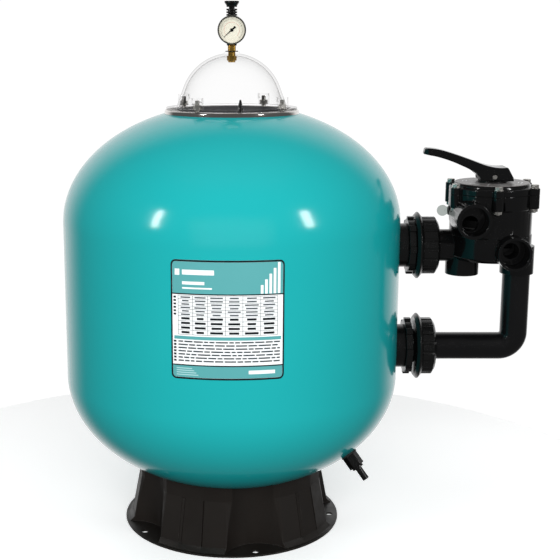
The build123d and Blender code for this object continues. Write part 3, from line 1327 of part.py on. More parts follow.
# ================================================================== inside the tank
INNER_PIPE_END = GASKET_R - BULKHEAD_FLANGE


def inner_pipe(corner_x, end_z, port_z, mode=Mode.ADD, radius=PIPE_R):
    """A pipe from a port's socket in to a corner, then up or down to a height."""
    with BuildLine(Plane.XZ) as route:
        FilletPolyline(
            (INNER_PIPE_END, port_z), (corner_x, port_z), (corner_x, end_z), radius=INNER_BEND_R,
        )
    with BuildSketch(Plane((INNER_PIPE_END, 0, port_z), x_dir=(0, 1, 0), z_dir=(-1, 0, 0))) as ring:
        Circle(radius)
    sweep(ring.sketch, path=route.line, mode=mode)


with BuildPart() as inlet_pipe:
    inner_pipe(INLET_X, INLET_TOP, UPPER_PORT_Z)
    inner_pipe(INLET_X, INLET_TOP, UPPER_PORT_Z, mode=Mode.SUBTRACT, radius=PIPE_R - PIPE_WALL)
inlet_pipe.part.label = "inlet_pipe"
export_step(inlet_pipe.part, "parts/inlet_pipe.step")

# Slotted cap that spreads the incoming water
with BuildPart() as diffuser:
    upright_lathe([
        (PIPE_R + SEAT, INLET_TOP - 12),
        (PIPE_R + 5, INLET_TOP - 12),
        (DIFFUSER_R, INLET_TOP + DIFFUSER_H / 2),
        (DIFFUSER_R, INLET_TOP + DIFFUSER_H),
        (0, INLET_TOP + DIFFUSER_H),
        (0, INLET_TOP + DIFFUSER_H - 4),
        (DIFFUSER_R - 4, INLET_TOP + DIFFUSER_H - 4),
        (DIFFUSER_R - 4, INLET_TOP + DIFFUSER_H / 2),
        (PIPE_R + SEAT, INLET_TOP - 2),
    ], centre_x=INLET_X)
    with BuildSketch(Plane.XY.offset(INLET_TOP + DIFFUSER_H / 2 + 1)):
        with Locations((INLET_X, 0)):
            with PolarLocations(DIFFUSER_R, 16):
                Rectangle(14, 5)
    extrude(amount=DIFFUSER_H / 2 - 6, mode=Mode.SUBTRACT)
diffuser.part.label = "diffuser"
export_step(diffuser.part, "parts/diffuser.step")

HUB_TOP_Z = HUB_Z + LATERAL_HUB_H / 2
HUB_LOW_Z = HUB_Z - LATERAL_HUB_H / 2
with BuildPart() as outlet_pipe:
    inner_pipe(0, HUB_TOP_Z - 10, LOWER_PORT_Z)
    inner_pipe(0, HUB_TOP_Z - 10, LOWER_PORT_Z, mode=Mode.SUBTRACT, radius=PIPE_R - PIPE_WALL)
outlet_pipe.part.label = "outlet_pipe"
export_step(outlet_pipe.part, "parts/outlet_pipe.step")

# Hub at the bottom of the tank, with a socket for each lateral
LATERAL_PLANES = [
    Plane((0, 0, HUB_Z), x_dir=(0, 0, 1),
          z_dir=(cos(2 * pi * (k + 0.5) / LATERAL_COUNT), sin(2 * pi * (k + 0.5) / LATERAL_COUNT), 0))
    for k in range(LATERAL_COUNT)
]
with BuildPart() as lateral_hub:
    post(0, 0, LATERAL_HUB_R, HUB_LOW_Z, HUB_TOP_Z)
    post(0, 0, PIPE_R - PIPE_WALL, HUB_LOW_Z + 5, HUB_TOP_Z, mode=Mode.SUBTRACT)
    post(0, 0, PIPE_R + SEAT, HUB_TOP_Z - 10, HUB_TOP_Z, mode=Mode.SUBTRACT)
    for plane in LATERAL_PLANES:
        with BuildSketch(plane):
            Circle(LATERAL_R + SEAT)
        extrude(amount=LATERAL_HUB_R, mode=Mode.SUBTRACT)
lateral_hub.part.label = "lateral_hub"
export_step(lateral_hub.part, "parts/lateral_hub.step")

# Slotted arms that collect the filtered water
LATERAL_START = PIPE_R + 5
with BuildPart() as laterals:
    for plane in LATERAL_PLANES:
        with BuildSketch(plane.offset(LATERAL_START)):
            Circle(LATERAL_R)
        extrude(amount=LATERAL_REACH - LATERAL_START)
        with BuildSketch(plane.offset(LATERAL_START)):
            Circle(LATERAL_R - LATERAL_WALL)
        extrude(amount=LATERAL_REACH - LATERAL_START - LATERAL_WALL, mode=Mode.SUBTRACT)
        for slot in range(LATERAL_SLOTS):
            slot_at = LATERAL_HUB_R + 12 + slot * (LATERAL_REACH - LATERAL_HUB_R - 24) / LATERAL_SLOTS
            with BuildSketch(plane.offset(slot_at)):
                with Locations((LATERAL_R, 0), (-LATERAL_R, 0)):
                    Rectangle(LATERAL_R, 3 * LATERAL_R)
            extrude(amount=1.0, mode=Mode.SUBTRACT)
laterals.part.label = "laterals"
export_step(laterals.part, "parts/laterals.step")

# Air tube from above the hub to its pointed strainer under the dome
STRAINER_TOP = LID_SEAT + 19.0
STRAINER_LOW = STRAINER_TOP - STRAINER_H
with BuildPart() as air_tube:
    post(AIR_TUBE_X, AIR_TUBE_Y, AIR_TUBE_R, HUB_Z + 40, STRAINER_LOW + 1)
    post(AIR_TUBE_X, AIR_TUBE_Y, AIR_TUBE_R / 2, HUB_Z + 40, STRAINER_LOW, mode=Mode.SUBTRACT)
    upright_lathe([
        (0, STRAINER_LOW),
        (STRAINER_R, STRAINER_LOW),
        (STRAINER_R - 1, STRAINER_LOW + 8),
        (1.5, STRAINER_TOP),
        (0, STRAINER_TOP),
    ], centre_x=AIR_TUBE_X, centre_y=AIR_TUBE_Y)
air_tube.part.label = "air_tube"
export_step(air_tube.part, "parts/air_tube.step")

# ================================================================== drain
BODY_START = DRAIN_SEAL
BODY_END = BODY_START + DRAIN_BODY
INSIDE_END = -TANK_WALL - DRAIN_NUT
with BuildPart() as drain_body:
    drain_post(DRAIN_STEM_R, INSIDE_END - 3, BODY_START)
    with BuildSketch(DRAIN_PLANE.offset(BODY_START)):
        RegularPolygon(DRAIN_BODY_R, 6)
    extrude(amount=DRAIN_BODY)
    drain_post(SPIGOT_THREAD_R + GAP, BODY_END - SPIGOT_THREAD - 1, BODY_END, mode=Mode.SUBTRACT)
    drain_post(SPIGOT_BORE_R, INSIDE_END - 3, BODY_END, mode=Mode.SUBTRACT)
drain_body.part.label = "drain_body"
export_step(drain_body.part, "parts/drain_body.step")

with BuildPart() as drain_seal:
    drain_post(DRAIN_SEAL_R, -DRAIN_SEAL, BODY_START)
    drain_post(DRAIN_STEM_R + SEAT, -DRAIN_SEAL, BODY_START, mode=Mode.SUBTRACT)
    tank_solid(mode=Mode.SUBTRACT)
drain_seal.part.label = "drain_seal"
export_step(drain_seal.part, "parts/drain_seal.step")

with BuildPart() as drain_nut:
    drain_post(DRAIN_NUT_R, INSIDE_END, 0)
    drain_post(DRAIN_STEM_R + SEAT, INSIDE_END, 0, mode=Mode.SUBTRACT)
    tank_solid(TANK_WALL, mode=Mode.INTERSECT)
drain_nut.part.label = "drain_nut"
export_step(drain_nut.part, "parts/drain_nut.step")

# Screwed spout for the drain hose
with BuildPart() as drain_spigot:
    drain_post(SPIGOT_THREAD_R, BODY_END - SPIGOT_THREAD, BODY_END + 1)
    drain_post(DRAIN_BODY_R - 4, BODY_END, BODY_END + 4)
    drain_post(SPIGOT_R, BODY_END + 4, BODY_END + SPIGOT)
    drain_post(SPIGOT_BORE_R, BODY_END - SPIGOT_THREAD, BODY_END + SPIGOT, mode=Mode.SUBTRACT)
drain_spigot.part.label = "drain_spigot"
export_step(drain_spigot.part, "parts/drain_spigot.step")
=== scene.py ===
"""Looks of a side-mount sand filter tank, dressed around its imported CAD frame.

Everything is in metres in the frame's own axes: +Z up, the valve on +X, the gauge and the
data label towards -Y. CAD nodes give every place and size; new pieces replace a node only
where its surface needs to be smoother or finer than the frame's mesh.
"""

from __future__ import annotations

import json
import logging
import math
from dataclasses import dataclass, field
from enum import Enum
from typing import Any, Callable

import bmesh
import bpy
import numpy as np
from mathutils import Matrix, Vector

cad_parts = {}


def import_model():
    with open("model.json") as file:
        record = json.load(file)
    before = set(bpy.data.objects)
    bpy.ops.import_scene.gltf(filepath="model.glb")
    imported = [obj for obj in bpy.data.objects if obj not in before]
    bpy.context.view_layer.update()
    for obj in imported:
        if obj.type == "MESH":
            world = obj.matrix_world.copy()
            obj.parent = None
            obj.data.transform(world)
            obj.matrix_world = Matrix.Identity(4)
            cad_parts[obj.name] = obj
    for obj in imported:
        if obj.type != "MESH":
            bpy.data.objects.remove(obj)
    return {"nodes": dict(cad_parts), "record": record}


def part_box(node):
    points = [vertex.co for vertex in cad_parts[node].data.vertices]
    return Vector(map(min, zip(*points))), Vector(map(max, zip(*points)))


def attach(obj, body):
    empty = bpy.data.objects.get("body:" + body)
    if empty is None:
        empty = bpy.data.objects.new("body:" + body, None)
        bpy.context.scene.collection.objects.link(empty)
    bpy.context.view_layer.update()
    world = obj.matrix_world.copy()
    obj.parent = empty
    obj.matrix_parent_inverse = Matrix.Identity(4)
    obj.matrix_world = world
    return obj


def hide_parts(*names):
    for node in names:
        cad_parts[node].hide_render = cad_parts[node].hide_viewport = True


LOG = logging.getLogger("filter_tank")

MM = 0.001
# Points closer than this are one point, in metres: at a pole, and in a node's loose triangles
POLE_MERGE = 1e-6
NODE_MERGE = 2e-6
# Triangles that bend less than this many degrees lie in one flat face
FLAT_DEGREES = 0.3

# A printed band: start angle, end angle, inner radius and outer radius, in radians and metres
Band = tuple[float, float, float, float]
# A printed patch on the unrolled film: left, right, bottom and top
Patch = tuple[float, float, float, float]


# ---------------------------------------------------------------- helpers: colour and nodes


def linear(hex_colour: str, alpha: float = 1.0) -> tuple[float, float, float, float]:
    """Turn an sRGB hex colour into the linear colour that shaders take.

    Args:
        hex_colour: six hex digits with a leading #.
        alpha: opacity to carry along.

    Returns:
        Linear red, green, blue and the alpha.
    """
    channels = [int(hex_colour[i : i + 2], 16) / 255 for i in (1, 3, 5)]
    lifted = [c / 12.92 if c <= 0.04045 else ((c + 0.055) / 1.055) ** 2.4 for c in channels]
    return (lifted[0], lifted[1], lifted[2], alpha)


def add_node(
    tree: bpy.types.NodeTree, kind: str, inputs: dict[Any, Any] | None = None, **settings: Any
) -> Any:
    """Add a shader node with its settings, values and links.

    Args:
        tree: node tree of the material or world.
        kind: type name of the node.
        inputs: socket name or number to a value, or to an output socket to link from.
        settings: properties set on the node itself.

    Returns:
        The new node.
    """
    made = tree.nodes.new(kind)
    for key, value in settings.items():
        setattr(made, key, value)
    for key, value in (inputs or {}).items():
        if isinstance(value, bpy.types.NodeSocket):
            tree.links.new(value, made.inputs[key])
        else:
            made.inputs[key].default_value = value
    return made


# ---------------------------------------------------------------- helpers: meshes


def grid_mesh(
    name: str, points: np.ndarray, close_u: bool = False, close_v: bool = False
) -> bpy.types.Mesh:
    """Make a mesh of quads from a grid of points.

    Corner (i, j) of the grid joins (i+1, j), (i+1, j+1) and (i, j+1); a closed direction
    wraps round to its start. Points that fall together, as at a pole, are merged.

    Args:
        name: name of the mesh.
        points: array of shape (U, V, 3) in metres.
        close_u: whether the first direction wraps.
        close_v: whether the second direction wraps.

    Returns:
        The smooth-shaded mesh with its faces pointing outwards.
    """
    rows, columns = points.shape[:2]
    index = np.arange(rows * columns).reshape(rows, columns)
    next_u = np.roll(index, -1, axis=0)
    next_v = np.roll(index, -1, axis=1)
    both = np.roll(next_u, -1, axis=1)
    quads = np.stack([index, next_u, both, next_v], axis=-1)
    quads = quads[: rows if close_u else rows - 1, : columns if close_v else columns - 1]
    mesh = bpy.data.meshes.new(name)
    mesh.from_pydata(points.reshape(-1, 3).tolist(), [], quads.reshape(-1, 4).tolist())
    tidy = bmesh.new()
    tidy.from_mesh(mesh)
    bmesh.ops.remove_doubles(tidy, verts=tidy.verts, dist=POLE_MERGE)
    bmesh.ops.recalc_face_normals(tidy, faces=tidy.faces)
    tidy.to_mesh(mesh)
    tidy.free()
    mesh.polygons.foreach_set("use_smooth", np.ones(len(mesh.polygons), bool))
    return mesh


def link_piece(name: str, mesh: bpy.types.Mesh) -> bpy.types.Object:
    """Put a mesh into the scene as an object at the origin."""
    piece = bpy.data.objects.new(name, mesh)
    bpy.context.scene.collection.objects.link(piece)
    return piece


def sharp_by_angle(mesh: bpy.types.Mesh, degrees: float) -> None:
    """Shade a mesh smooth except across edges that bend more than an angle."""
    mesh.polygons.foreach_set("use_smooth", np.ones(len(mesh.polygons), bool))
    mesh.set_sharp_from_angle(angle=math.radians(degrees))


def lathe_points(profile: np.ndarray, steps: int) -> np.ndarray:
    """Turn a profile about the frame's upright axis.

    Each profile point (r, z) goes to (r cos a, r sin a, z) for every angle a.

    Args:
        profile: array of shape (N, 2) of radius and height.
        steps: number of angles in the turn.

    Returns:
        Points of shape (steps, N, 3).
    """
    angle = np.linspace(0, 2 * math.pi, steps, endpoint=False)[:, None]
    radius, height = profile[None, :, 0], profile[None, :, 1]
    return np.stack([radius * np.cos(angle), radius * np.sin(angle), height + 0 * angle], axis=-1)


def face_mesh(name: str, points: np.ndarray, faces: np.ndarray) -> bpy.types.Mesh:
    """Make a mesh from points of shape (N, 3) and quads of shape (M, 4)."""
    mesh = bpy.data.meshes.new(name)
    mesh.from_pydata(points.tolist(), [], faces.tolist())
    return mesh


def band_mesh(
    name: str,
    bands: list[Band],
    place: Callable[[float, np.ndarray], np.ndarray],
    count: Callable[[float], int],
    flip: bool,
) -> bpy.types.Mesh:
    """Make one mesh of flat bands, each between two radii and two angles.

    A band is cut evenly across its angles, and each cell between two cuts is one face from
    the inner radius to the outer.

    Args:
        name: name of the mesh.
        bands: the bands.
        place: gives the points of one radius at an array of angles.
        count: number of cuts across a given span of angle.
        flip: whether the faces wind the other way, to point outwards.

    Returns:
        The mesh.
    """
    points, faces = [], []
    total = 0
    for begin, end, inner, outer in bands:
        cuts = np.linspace(begin, end, count(end - begin))
        points += [place(inner, cuts), place(outer, cuts)]
        first = total + np.arange(len(cuts) - 1)
        second = first + len(cuts)
        corners = [first, first + 1, second + 1, second]
        if flip:
            corners = [first, second, second + 1, first + 1]
        faces.append(np.stack(corners, -1))
        total += 2 * len(cuts)
    return face_mesh(name, np.concatenate(points), np.concatenate(faces))


# ---------------------------------------------------------------- finishes


@dataclass(frozen=True)
class Grain:
    """A pattern of bumps: its size and height in millimetres, and its detail."""

    size_mm: float
    height_mm: float
    detail: float = 3.0


@dataclass(frozen=True)
class Finish:
    """An opaque surface made from a real material.

    Its colour drifts slightly over a broad noise, its roughness over a finer one, and its
    bumps are summed from the grains.
    """

    name: str
    colour: str
    drift: str
    roughness: float
    metallic: float = 0.0
    ior: float = 1.5
    coat: float = 0.0
    coat_roughness: float = 0.06
    drift_mm: float = 60.0
    roughness_swing: float = 0.06
    smudge_mm: float = 14.0
    grains: tuple[Grain, ...] = ()
    glow: float = 0.0

    def make(self) -> bpy.types.Material:
        """Build the material's node tree.

        Returns:
            The material.
        """
        material = bpy.data.materials.new(self.name)
        material.use_nodes = True
        tree = material.node_tree
        shader = tree.nodes["Principled BSDF"]
        shader.inputs["Metallic"].default_value = self.metallic
        if self.metallic < 0.5:
            shader.inputs["IOR"].default_value = self.ior
        shader.inputs["Coat Weight"].default_value = self.coat
        shader.inputs["Coat Roughness"].default_value = self.coat_roughness
        shader.inputs["Emission Color"].default_value = linear(self.colour)
        shader.inputs["Emission Strength"].default_value = self.glow
        place = add_node(tree, "ShaderNodeTexCoord").outputs["Object"]
        broad = add_node(
            tree,
            "ShaderNodeTexNoise",
            {"Vector": place, "Scale": 1 / (self.drift_mm * MM), "Detail": 3.0},
        )
        # Sockets 6 and 7 of a mix node are its pair of colours, and output 2 is their mix
        tint = add_node(
            tree,
            "ShaderNodeMix",
            {0: broad.outputs["Fac"], 6: linear(self.colour), 7: linear(self.drift)},
            data_type="RGBA",
        )
        tree.links.new(tint.outputs[2], shader.inputs["Base Color"])
        smudge = add_node(
            tree,
            "ShaderNodeTexNoise",
            {"Vector": place, "Scale": 1 / (self.smudge_mm * MM), "Detail": 4.0},
        )
        gloss = add_node(
            tree,
            "ShaderNodeMapRange",
            {
                "Value": smudge.outputs["Fac"],
                "From Min": 0.3,
                "From Max": 0.7,
                "To Min": max(0.02, self.roughness - self.roughness_swing / 2),
                "To Max": self.roughness + self.roughness_swing / 2,
            },
        )
        tree.links.new(gloss.outputs["Result"], shader.inputs["Roughness"])
        normal = None
        for grain in self.grains:
            noise = add_node(
                tree,
                "ShaderNodeTexNoise",
                {"Vector": place, "Scale": 1 / (grain.size_mm * MM), "Detail": grain.detail},
            )
            inputs = {
                "Height": noise.outputs["Fac"],
                "Distance": grain.height_mm * MM,
                "Strength": 1.0,
            }
            if normal is not None:
                inputs["Normal"] = normal
            normal = add_node(tree, "ShaderNodeBump", inputs).outputs["Normal"]
        if normal is not None:
            tree.links.new(normal, shader.inputs["Normal"])
        return material


@dataclass(frozen=True)
class ClearFinish:
    """A see-through moulding: thin enough that what is behind it shows undistorted.

    Light passes straight through, a little of it is lost where the wall is seen edge on, and
    the rest is mirrored by Fresnel's law. Only outward-facing sides count, so that each wall
    is passed once.
    """

    name: str
    colour: str
    edge: str
    roughness: float = 0.03
    ior: float = 1.585
    edge_ior: float = 1.25
    ripple: Grain = field(default_factory=lambda: Grain(30.0, 0.02))

    def make(self) -> bpy.types.Material:
        """Build the material's node tree.

        Returns:
            The material.
        """
        material = bpy.data.materials.new(self.name)
        material.use_nodes = True
        tree = material.node_tree
        tree.nodes.remove(tree.nodes["Principled BSDF"])
        place = add_node(tree, "ShaderNodeTexCoord").outputs["Object"]
        noise = add_node(
            tree,
            "ShaderNodeTexNoise",
            {"Vector": place, "Scale": 1 / (self.ripple.size_mm * MM), "Detail": 1.0},
        )
        bump = add_node(
            tree,
            "ShaderNodeBump",
            {
                "Height": noise.outputs["Fac"],
                "Distance": self.ripple.height_mm * MM,
                "Strength": 1.0,
            },
        )
        inner_side = add_node(tree, "ShaderNodeNewGeometry").outputs["Backfacing"]
        outer_side = add_node(
            tree, "ShaderNodeMath", {0: 1.0, 1: inner_side}, operation="SUBTRACT"
        ).outputs["Value"]
        grazing = add_node(tree, "ShaderNodeFresnel", {"IOR": self.edge_ior})
        lost = add_node(
            tree, "ShaderNodeMath", {0: grazing.outputs["Fac"], 1: outer_side}, operation="MULTIPLY"
        )
        tint = add_node(
            tree,
            "ShaderNodeMix",
            {0: lost.outputs["Value"], 6: linear(self.colour), 7: linear(self.edge)},
            data_type="RGBA",
        )
        through = add_node(tree, "ShaderNodeBsdfTransparent", {"Color": tint.outputs[2]})
        mirror = add_node(
            tree,
            "ShaderNodeBsdfGlossy",
            {"Roughness": self.roughness, "Normal": bump.outputs["Normal"]},
        )
        fresnel = add_node(tree, "ShaderNodeFresnel", {"IOR": self.ior})
        share = add_node(
            tree, "ShaderNodeMath", {0: fresnel.outputs["Fac"], 1: outer_side}, operation="MULTIPLY"
        )
        mixed = add_node(
            tree,
            "ShaderNodeMixShader",
            {0: share.outputs["Value"], 1: through.outputs["BSDF"], 2: mirror.outputs["BSDF"]},
        )
        tree.links.new(mixed.outputs["Shader"], tree.nodes["Material Output"].inputs["Surface"])
        return material


class Surface(Enum):
    """Every finish of the tank, named for its real material."""

    # Gelcoat over wound glass fibre: a wet-looking skin with a slow waviness from the strands
    GELCOAT = Finish(
        "gelcoat_over_wound_fibreglass", "#17A2A5", "#1CA5A7", 0.15, coat=0.05, drift_mm=220.0,
        roughness_swing=0.03, smudge_mm=60.0, grains=(Grain(45.0, 0.10, 2.0), Grain(2.2, 0.004)),
    )
    # Glass-filled polypropylene: spark-eroded mould grain, so it looks dull with a faint sparkle
    SKIRT = Finish(
        "textured_glass_filled_polypropylene", "#13100E", "#1F1B18", 0.5, drift_mm=90.0,
        roughness_swing=0.14, smudge_mm=25.0,
        grains=(Grain(1.6, 0.10, 4.0), Grain(30.0, 0.25, 2.0)),
    )
    # Polished ABS: deep black with hard little reflections
    VALVE = Finish(
        "polished_black_abs", "#070707", "#0B0B0C", 0.13, drift_mm=50.0, roughness_swing=0.08,
        smudge_mm=18.0, grains=(Grain(14.0, 0.03, 2.0),),
    )
    # ABS of the fittings, a little duller from the tool
    FITTING = Finish(
        "moulded_black_abs", "#0A0A0A", "#101010", 0.24, drift_mm=40.0, roughness_swing=0.1,
        smudge_mm=12.0, grains=(Grain(1.4, 0.01), Grain(12.0, 0.03, 2.0)),
    )
    # Pressure pipe drawn through a die: smooth along its length
    PIPE = Finish(
        "extruded_black_abs_pipe", "#0A0A0B", "#0E0E0F", 0.22, drift_mm=70.0, roughness_swing=0.08,
        smudge_mm=30.0, grains=(Grain(20.0, 0.05, 1.0),),
    )
    # Matt moulding of the collar in the opening
    NECK = Finish(
        "grey_moulded_polypropylene", "#3A3A3C", "#454547", 0.45, drift_mm=30.0,
        grains=(Grain(1.2, 0.02),),
    )
    # 304 stainless polished bright: near-mirror with faint buffing marks
    POLISHED = Finish(
        "polished_stainless_steel", "#DAD7D3", "#CFCBC7", 0.12, metallic=1.0, drift_mm=40.0,
        roughness_swing=0.1, smudge_mm=8.0, grains=(Grain(3.0, 0.003),),
    )
    # Fasteners pressed cold: duller than the ring, so that they read as light grey
    STEEL = Finish(
        "cold_formed_stainless_steel", "#E2DFDA", "#D2CFC9", 0.42, metallic=1.0, drift_mm=6.0,
        roughness_swing=0.16, smudge_mm=3.0, grains=(Grain(0.8, 0.006),),
    )
    # Brass as the lathe left it: tool marks too fine to see blur its reflections
    BRASS = Finish(
        "turned_brass", "#F0C264", "#D9A649", 0.4, metallic=1.0, drift_mm=7.0,
        roughness_swing=0.16, smudge_mm=3.0, grains=(Grain(0.7, 0.006),),
    )
    # Compression-moulded rubber: matt, without any clear reflection
    RUBBER = Finish(
        "seal_rubber", "#141414", "#1B1B1B", 0.6, drift_mm=20.0, grains=(Grain(0.9, 0.01),)
    )
    # Pressed steel with stoved enamel: a clear film over dark grey
    ENAMEL = Finish(
        "enamelled_steel_case", "#33332F", "#3D3C37", 0.22, drift_mm=15.0, coat=0.4,
        grains=(Grain(1.0, 0.004),),
    )
    # Tin plate with a cream lacquer, gone faintly uneven
    DIAL = Finish(
        "printed_tin_dial", "#DDDACB", "#D6D1BF", 0.42, drift_mm=18.0, grains=(Grain(0.6, 0.003),)
    )
    NEEDLE = Finish("blackened_brass_needle", "#0B0B0B", "#121212", 0.35, drift_mm=5.0)
    # Uncoloured polypropylene: waxy and off-white
    NATURAL = Finish(
        "natural_polypropylene", "#C9C8C2", "#BDBBB3", 0.45, drift_mm=40.0,
        grains=(Grain(1.2, 0.02),),
    )
    SELECTOR = Finish(
        "printed_grey_selector_plate", "#6B6766", "#757170", 0.34, drift_mm=25.0,
        grains=(Grain(1.0, 0.01),),
    )
    # Polyester film laid on a curve: its gloss ripples slowly
    FILM = Finish(
        "printed_polyester_film", "#F1F4F5", "#ECF0F1", 0.3, drift_mm=80.0,
        grains=(Grain(18.0, 0.02, 1.0),),
    )
    # Screen inks: thin and even, a little duller than the film
    INK_TEAL = Finish("teal_ink", "#57A1A3", "#549EA0", 0.34, drift_mm=50.0)
    INK_PALE = Finish("pale_teal_ink", "#A9D0D1", "#A4CCCD", 0.34, drift_mm=50.0)
    INK_DARK = Finish("black_ink", "#0B1013", "#12171A", 0.36, drift_mm=30.0)
    INK_GREY = Finish("grey_ink", "#42494D", "#3C4347", 0.38, drift_mm=30.0)
    INK_WHITE = Finish("white_ink", "#F2F6F6", "#EDF2F2", 0.38, drift_mm=30.0)
    INK_RED = Finish("red_ink", "#C0605A", "#B95850", 0.4, drift_mm=10.0)
    # Clear mouldings. The dome and lens are given a lower index than the real material has, which
    # keeps their reflections as faint as they are under a broad soft light
    DOME = ClearFinish("clear_polycarbonate", "#FFFFFF", "#A19E9D", ior=1.2, edge_ior=1.3)
    LENS = ClearFinish(
        "mineral_glass_lens", "#FFFFFF", "#D8DCDA", 0.02, 1.2, 1.1, Grain(40.0, 0.002)
    )
    PLUG = ClearFinish("smoked_polycarbonate", "#D2D6D4", "#5F6462", 0.08)

    @property
    def material(self) -> bpy.types.Material:
        """The finish's material, made the first time it is asked for."""
        return bpy.data.materials.get(self.value.name) or self.value.make()


# ---------------------------------------------------------------- the frame, wrapped


@dataclass
class Frame:
    """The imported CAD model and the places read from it."""

    nodes: dict[str, bpy.types.Object]
    body_of: dict[str, str]
    slot_of: dict[str, str]

    @classmethod
    def load(cls) -> "Frame":
        """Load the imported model.

        Returns:
            The frame with each node's body and material slot.
        """
        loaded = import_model()
        record = loaded["record"]
        bodies = record["behaviour"]["bodies"]
        return cls(
            nodes=loaded["nodes"],
            body_of={node: body for body, members in bodies.items() for node in members},
            slot_of={row["node"]: row["material_slot"] for row in record["subparts"]},
        )

    def box(self, node: str) -> tuple[Vector, Vector]:
        """Lowest and highest corner of a node."""
        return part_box(node)

    def centre(self, node: str) -> Vector:
        """Middle of a node's box."""
        low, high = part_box(node)
        return (low + high) / 2

    def paint(self, node: str, surface: Surface) -> None:
        """Give a CAD node that stays as it is a finish."""
        mesh = self.nodes[node].data
        mesh.materials.clear()
        mesh.materials.append(surface.material)

    def adopt(
        self, piece: bpy.types.Object, node: str, surface: Surface, replace: bool = True
    ) -> None:
        """Let a new piece ride with a node's body and stand for the node.

        Args:
            piece: the new piece.
            node: the CAD node it belongs with.
            surface: its finish.
            replace: whether the node is hidden behind the piece.
        """
        piece.data.materials.clear()
        piece.data.materials.append(surface.material)
        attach(piece, self.body_of[node])
        if replace:
            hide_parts(node)
        faces = len(piece.data.polygons)
        LOG.info("%s rides on %s, %d faces", piece.name, self.body_of[node], faces)

    def refine(self, node: str, surface: Surface, bevel_mm: float, smooth: float = 32.0) -> None:
        """Replace a node by its own shape with smooth shading and softened edges.

        A copy of the node's loose triangles is merged, its flat areas become whole faces, and
        a bevel of a real edge radius catches the light as a moulded edge does.

        Args:
            node: the CAD node.
            surface: its finish.
            bevel_mm: edge radius; zero leaves the edges as they are.
            smooth: edges that bend less than this many degrees are shaded smooth.
        """
        mesh = self.nodes[node].data.copy()
        merged = bmesh.new()
        merged.from_mesh(mesh)
        bmesh.ops.remove_doubles(merged, verts=merged.verts, dist=NODE_MERGE)
        bmesh.ops.dissolve_limit(
            merged,
            angle_limit=math.radians(FLAT_DEGREES),
            verts=merged.verts,
            edges=merged.edges,
        )
        merged.to_mesh(mesh)
        merged.free()
        sharp_by_angle(mesh, smooth)
        piece = link_piece(f"{node}_moulded" if bevel_mm else f"{node}_smooth", mesh)
        if bevel_mm:
            edge = piece.modifiers.new("edge_radius", "BEVEL")
            edge.width = bevel_mm * MM
            edge.segments = 2
            edge.limit_method = "ANGLE"
            edge.angle_limit = math.radians(max(smooth, 35.0))
            edge.use_clamp_overlap = False
            edge.harden_normals = True
        self.adopt(piece, node, surface)


# ---------------------------------------------------------------- tank


@dataclass
class Shell:
    """The wound tank shell: a cylinder between two elliptical heads, open at the neck."""

    frame: Frame
    cylinder_low: float = 0.288
    cylinder_high: float = 0.570
    wall: float = 0.0065
    opening: float = 0.0997
    pole_flat: float = 0.025
    steps: int = 256

    def build(self) -> None:
        """Make the smooth shell.

        The section runs out along the lower ellipse (r = R cos t, z = z0 - b sin t), up the
        cylinder, in along the upper ellipse to the opening, and back inside, a wall inwards.
        """
        low, high = self.frame.box("tank_shell")
        radius = high.x
        rise = (high.z - self.cylinder_high) / math.sqrt(1 - (self.opening / radius) ** 2)
        drop = (self.cylinder_low - low.z) / math.sqrt(1 - (self.pole_flat / radius) ** 2)
        outside = self.section(radius, rise, drop)
        inside = self.section(radius - self.wall, rise - self.wall, drop - self.wall)[::-1]
        lip_turn = np.linspace(0, math.pi, 9)[1:-1, None]
        middle = (outside[-1] + inside[0]) / 2
        reach = (outside[-1] - inside[0]) / 2
        lip = middle + np.cos(lip_turn) * reach
        profile = np.concatenate([outside, lip, inside])
        mesh = grid_mesh("shell", lathe_points(profile, self.steps), close_u=True)
        piece = link_piece("wound_shell", mesh)
        sharp_by_angle(mesh, 50)
        self.frame.adopt(piece, "tank_shell", Surface.GELCOAT)

    def section(self, radius: float, rise: float, drop: float) -> np.ndarray:
        """Half section of one surface of the shell, from its lowest point to the neck.

        Args:
            radius: radius of the cylinder.
            rise: height of the upper ellipse.
            drop: depth of the lower ellipse.

        Returns:
            Points (r, z) from the flat at the pole up to the opening.
        """
        start = math.acos(self.pole_flat / radius)
        below = np.linspace(start, 0, 60)
        wall = np.linspace(self.cylinder_low, self.cylinder_high, 14)[1:-1]
        above = np.linspace(0, math.acos(self.opening / radius), 60)
        return np.concatenate(
            [
                np.array([[0.0, self.cylinder_low - drop * math.sin(start)]]),
                np.stack([radius * np.cos(below), self.cylinder_low - drop * np.sin(below)], -1),
                np.stack([np.full_like(wall, radius), wall], -1),
                np.stack([radius * np.cos(above), self.cylinder_high + rise * np.sin(above)], -1),
            ]
        )


